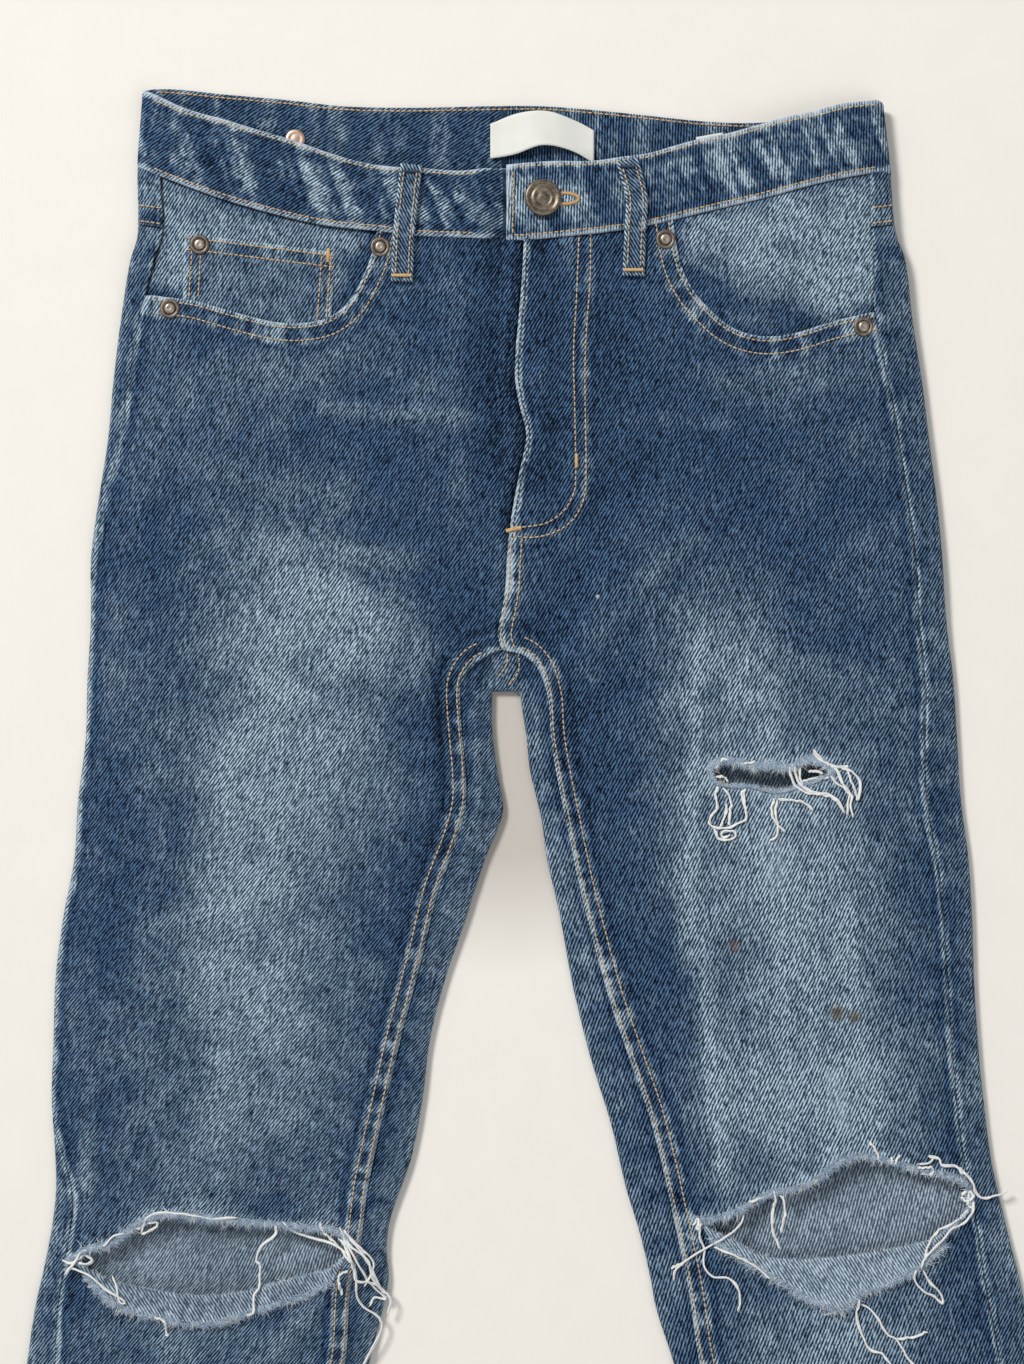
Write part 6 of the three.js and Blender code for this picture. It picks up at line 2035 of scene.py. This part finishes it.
def shield_height(x, y):
    """The fly shield's face: under the left front, and lower under the band."""
    return ground(x, y) - 2.0 - 0.8 * ease(y, BAND_LOW(x) - 2, BAND_LOW(x) + 1)


def even(base, strength, size, seed):
    """Wear of a small piece: a base with soft blotches."""
    return lambda x, y: base + strength * cloudy(x, y, size, seed)


coin_outline = straight_sides(COIN_POCKET, 20)
piece = patch("coin_pocket_cloth", coin_outline, coin_height, coin_pale, cloth_finishes, "coin_pocket", 1.6)
sheets.append((piece, (0.082, 0.065), 0.0045))
x = np.linspace(-28, TONGUE_END_X, 40)
shield_outline = np.vstack([np.stack([x, BAND_LOW(x) + 1], 1), [(TONGUE_END_X, 250), (18, 216), (-20, 216)]])
shield_wear = even(0.2, 0.1, 8, 240)
piece = patch(
    "fly_shield_cloth", shield_outline, shield_height, shield_wear, cloth_finishes, "fly_shield", 3.0,
)
sheets.append((piece, (0.068, 0.208), 0.0128))
sheets.append((waistband(cloth_finishes), (0.86, 0.04), 0.0342))

for name, line in FRONT_LOOPS.items():
    piece = strap(f"{name}_cloth", line, loop_base, cloth_finishes, name)
    sheets.append((piece, (0.0116, 0.063), 0.00073))
for side in SIDES:
    outline = straight_sides(back_pocket_outline(side, 0), 30)

    def pocket_pale(x, y, edge=looped(outline)):
        """Wear of a back pocket: mild blotches, paler along its edge."""
        return 0.55 + 0.5 * bell(beside(x, y, edge)[0], 2) + 0.15 * cloudy(x, y, 14, 250)

    node = f"back_pocket_{side}"
    piece = patch(f"{node}_cloth", outline, level(0.1), pocket_pale, cloth_finishes, node, 3.2, up=False)
    sheets.append((piece, (0.136, 0.144), 0.0178))
for name, (cx, cy, lean) in BACK_LOOPS.items():
    half = LOOP_WIDTH / 2
    outline = straight_sides(turned([(-half, 0), (half, 0), (half, -56), (-half, -56)], cx, cy, lean), 16)
    wear = even(0.6, 0.3, 5, 260)
    piece = patch(f"{name}_cloth", outline, level(0.05), wear, cloth_finishes, name, 1.5, up=False)
    sheets.append((piece, (0.0116, 0.056), 0.00065))

# labels
tape = label_cloth("label_tape")
top_edge = smooth([(-12, 482), (2, 487), (18, 488), (34, 483), (43, 478.5)])
low_edge = smooth([(-12, 463.5), (1, 465.5), (16, 470), (32, 467), (43, 461)])
along, across = np.meshgrid(np.linspace(-12, 43, 60), np.linspace(0, 1, 16), indexing="ij")
y = low_edge(along) + across * (top_edge(along) - low_edge(along))
bow = 4 * np.sin(np.pi * (along + 12) / 55) ** 2
z = 4.5 + 0.8 + bow + 0.25 * ripple(along, 9, 270)
label = Cloth("waist_label_cloth")
weave = np.stack([along, y], -1).reshape(-1, 2)
label.wall(np.stack([along, y, z], -1), quads(60, 16), weave, 0.5, thickness=0.5, finish=(FACE, FACE, FACE))
sheets.append((label.build([tape], ["waist_label"], "label_cloth"), (0.056, 0.02), 0.00105))
tag_outline = straight_sides([(98, 467), (113, 470), (111.5, 477.5), (97, 475)], 12)
piece = patch(
    "size_tag_cloth", tag_outline, lambda x, y: 5.0 + 0.2 * ripple(x, 5, 271), level(0.5), [tape] * 3,
    "size_tag", 1.2, thickness=0.4, slot="label_cloth",
)
sheets.append((piece, (0.0155, 0.01), 0.00012))

# metal
button_x, button_y = BUTTON_AT
button_z = float(band_face(button_x, button_y))
head = [
    (0.01, 1.0), (8.6, 1.0), (9.4, 1.5), (9.7, 2.2), (9.5, 2.9), (8.9, 3.3), (8.0, 3.35), (7.3, 2.9),
    (6.9, 2.55), (6.2, 2.5), (5.7, 2.8), (5.2, 3.1), (4.6, 3.05), (4.1, 2.7), (3.5, 2.6), (2.6, 2.75),
    (2.0, 3.05), (1.0, 3.2), (0.01, 3.22),
]
shank = [(0.01, -3.4), (2.4, -3.4), (2.4, 2.4), (0.01, 2.4)]
for name, profile, lift, finish, lean, segments in (
    ("head", head, 0.2, bronze, BUTTON_LEAN, 96), ("shank", shank, 0.0, dark_bronze, 0.0, 40),
):
    at = (button_x, button_y, button_z + lift)
    turned_metal(f"waist_button_{name}", profile, at, finish, "waist_button", "button_metal", lean, segments)
ring = [
    (0.01, -0.4), (4.9, -0.35), (5.3, 0.1), (5.2, 0.8), (4.7, 1.3), (4.0, 1.35), (3.4, 0.9), (3.0, 0.6),
    (3.0, 0.5), (0.01, 0.5),
]
nub = [(0.01, 0.5), (3.05, 0.5), (2.9, 1.3), (2.4, 1.9), (1.6, 2.15), (0.8, 2.0), (0.01, 1.9)]
for name, (x, y) in BUTTON_RIVETS.items():
    side = "right" if x < 0 else "left"
    base = float(ground(x, y)) - 1.1 if "coin" in name else float(front_face(side, x, y))
    turned_metal(f"{name}_ring", ring, (x, y, base), dark_bronze, name, "rivet_metal", wave=0.12)
    turned_metal(f"{name}_nub", nub, (x, y, base), bright_bronze, name, "rivet_metal", wave=0.1)
tack = [(0.01, 0.0), (5.3, 0.0), (5.3, 0.5), (4.9, 1.0), (3.4, 1.1), (2.8, 0.9), (2.0, 1.1), (0.01, 1.2)]
turned_metal("inner_tack_disc", tack, (-115.5, 474, SEAT_LIFT + BAND), copper, "inner_tack", "rivet_metal")

# threads
tan, gold, dark = sew()
tan.build(tan_thread)
gold.build(gold_thread)
dark.build(dark_thread)
fibres = (("blue", blue_yarn, 6400, 4.6, 0.17), ("white", white_yarn, 1100, 5.5, 0.15))
for side, seed in (("right", 401), ("left", 402)):
    for name, material, count, longest, radius in fibres:
        hairs = Cloth(f"torn_fibres_{name}_{side}")
        hairs.add(*bundle(fray(side, count, seed + len(name), longest), radius, 3), 0.5)
        hairs.build([material])
yarns = Cloth("loose_yarns")
yarns.add(*bundle(loose_yarns(), 0.54, 6), 0.5)
yarns.build([white_yarn])

for piece, flat, area in sheets:
    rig.sheet(piece, flat=flat, held="laid", area=area)

# ---- Floor, light and camera ----
bpy.ops.mesh.primitive_plane_add(size=6)
floor = bpy.context.object
floor.name = "floor"
floor.location.z = -0.0005
floor.data.materials.append(floor_paper("floor_pale"))
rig.stage(floor)


def lamp(name, at, aim, size, power, colour):
    """A square soft light at a place, turned so that it shines at its aim."""
    light = bpy.data.lights.new(name, "AREA")
    light.shape = "SQUARE"
    light.size = size
    light.energy = power
    light.color = colour
    holder = bpy.data.objects.new(name, light)
    bpy.context.collection.objects.link(holder)
    holder.location = at
    direction = np.array(aim, float) - np.array(at, float)
    yaw = math.atan2(direction[1], direction[0])
    pitch = math.acos(-direction[2] / np.linalg.norm(direction))
    holder.rotation_euler = (pitch, 0, yaw - math.pi / 2)
    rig.stage(holder)


lamp("window_light", (-2.45, 2.6, 3.3), (0, 0.15, 0), 1.2, 200, (1.0, 0.985, 0.955))
lamp("room_light", (0.9, -0.9, 2.2), (0, 0.0, 0), 2.2, 15, (0.98, 0.99, 1.0))
world = bpy.data.worlds.new("room")
world.use_nodes = True
world.node_tree.nodes["Background"].inputs["Color"].default_value = (0.97, 0.98, 1.0, 1)
world.node_tree.nodes["Background"].inputs["Strength"].default_value = 0.31
bpy.context.scene.world = world

FRAME_HEIGHT, CAMERA_AWAY = 0.7229, 1.5
lens = bpy.data.cameras.new("camera")
lens.sensor_fit = "VERTICAL"
lens.sensor_height = 24
lens.lens = lens.sensor_height * CAMERA_AWAY / FRAME_HEIGHT
camera = bpy.data.objects.new("camera", lens)
bpy.context.collection.objects.link(camera)
camera.location = ((WAIST_X - 0.5) * 0.001, 0.186, CAMERA_AWAY + 0.006)
bpy.context.scene.camera = camera
bpy.context.scene.view_settings.view_transform = "Standard"

new_box = [list(corner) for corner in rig.bounds()]
with open("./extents.json", "w") as out:
    json.dump({"cad": cad_box, "finished": new_box}, out)
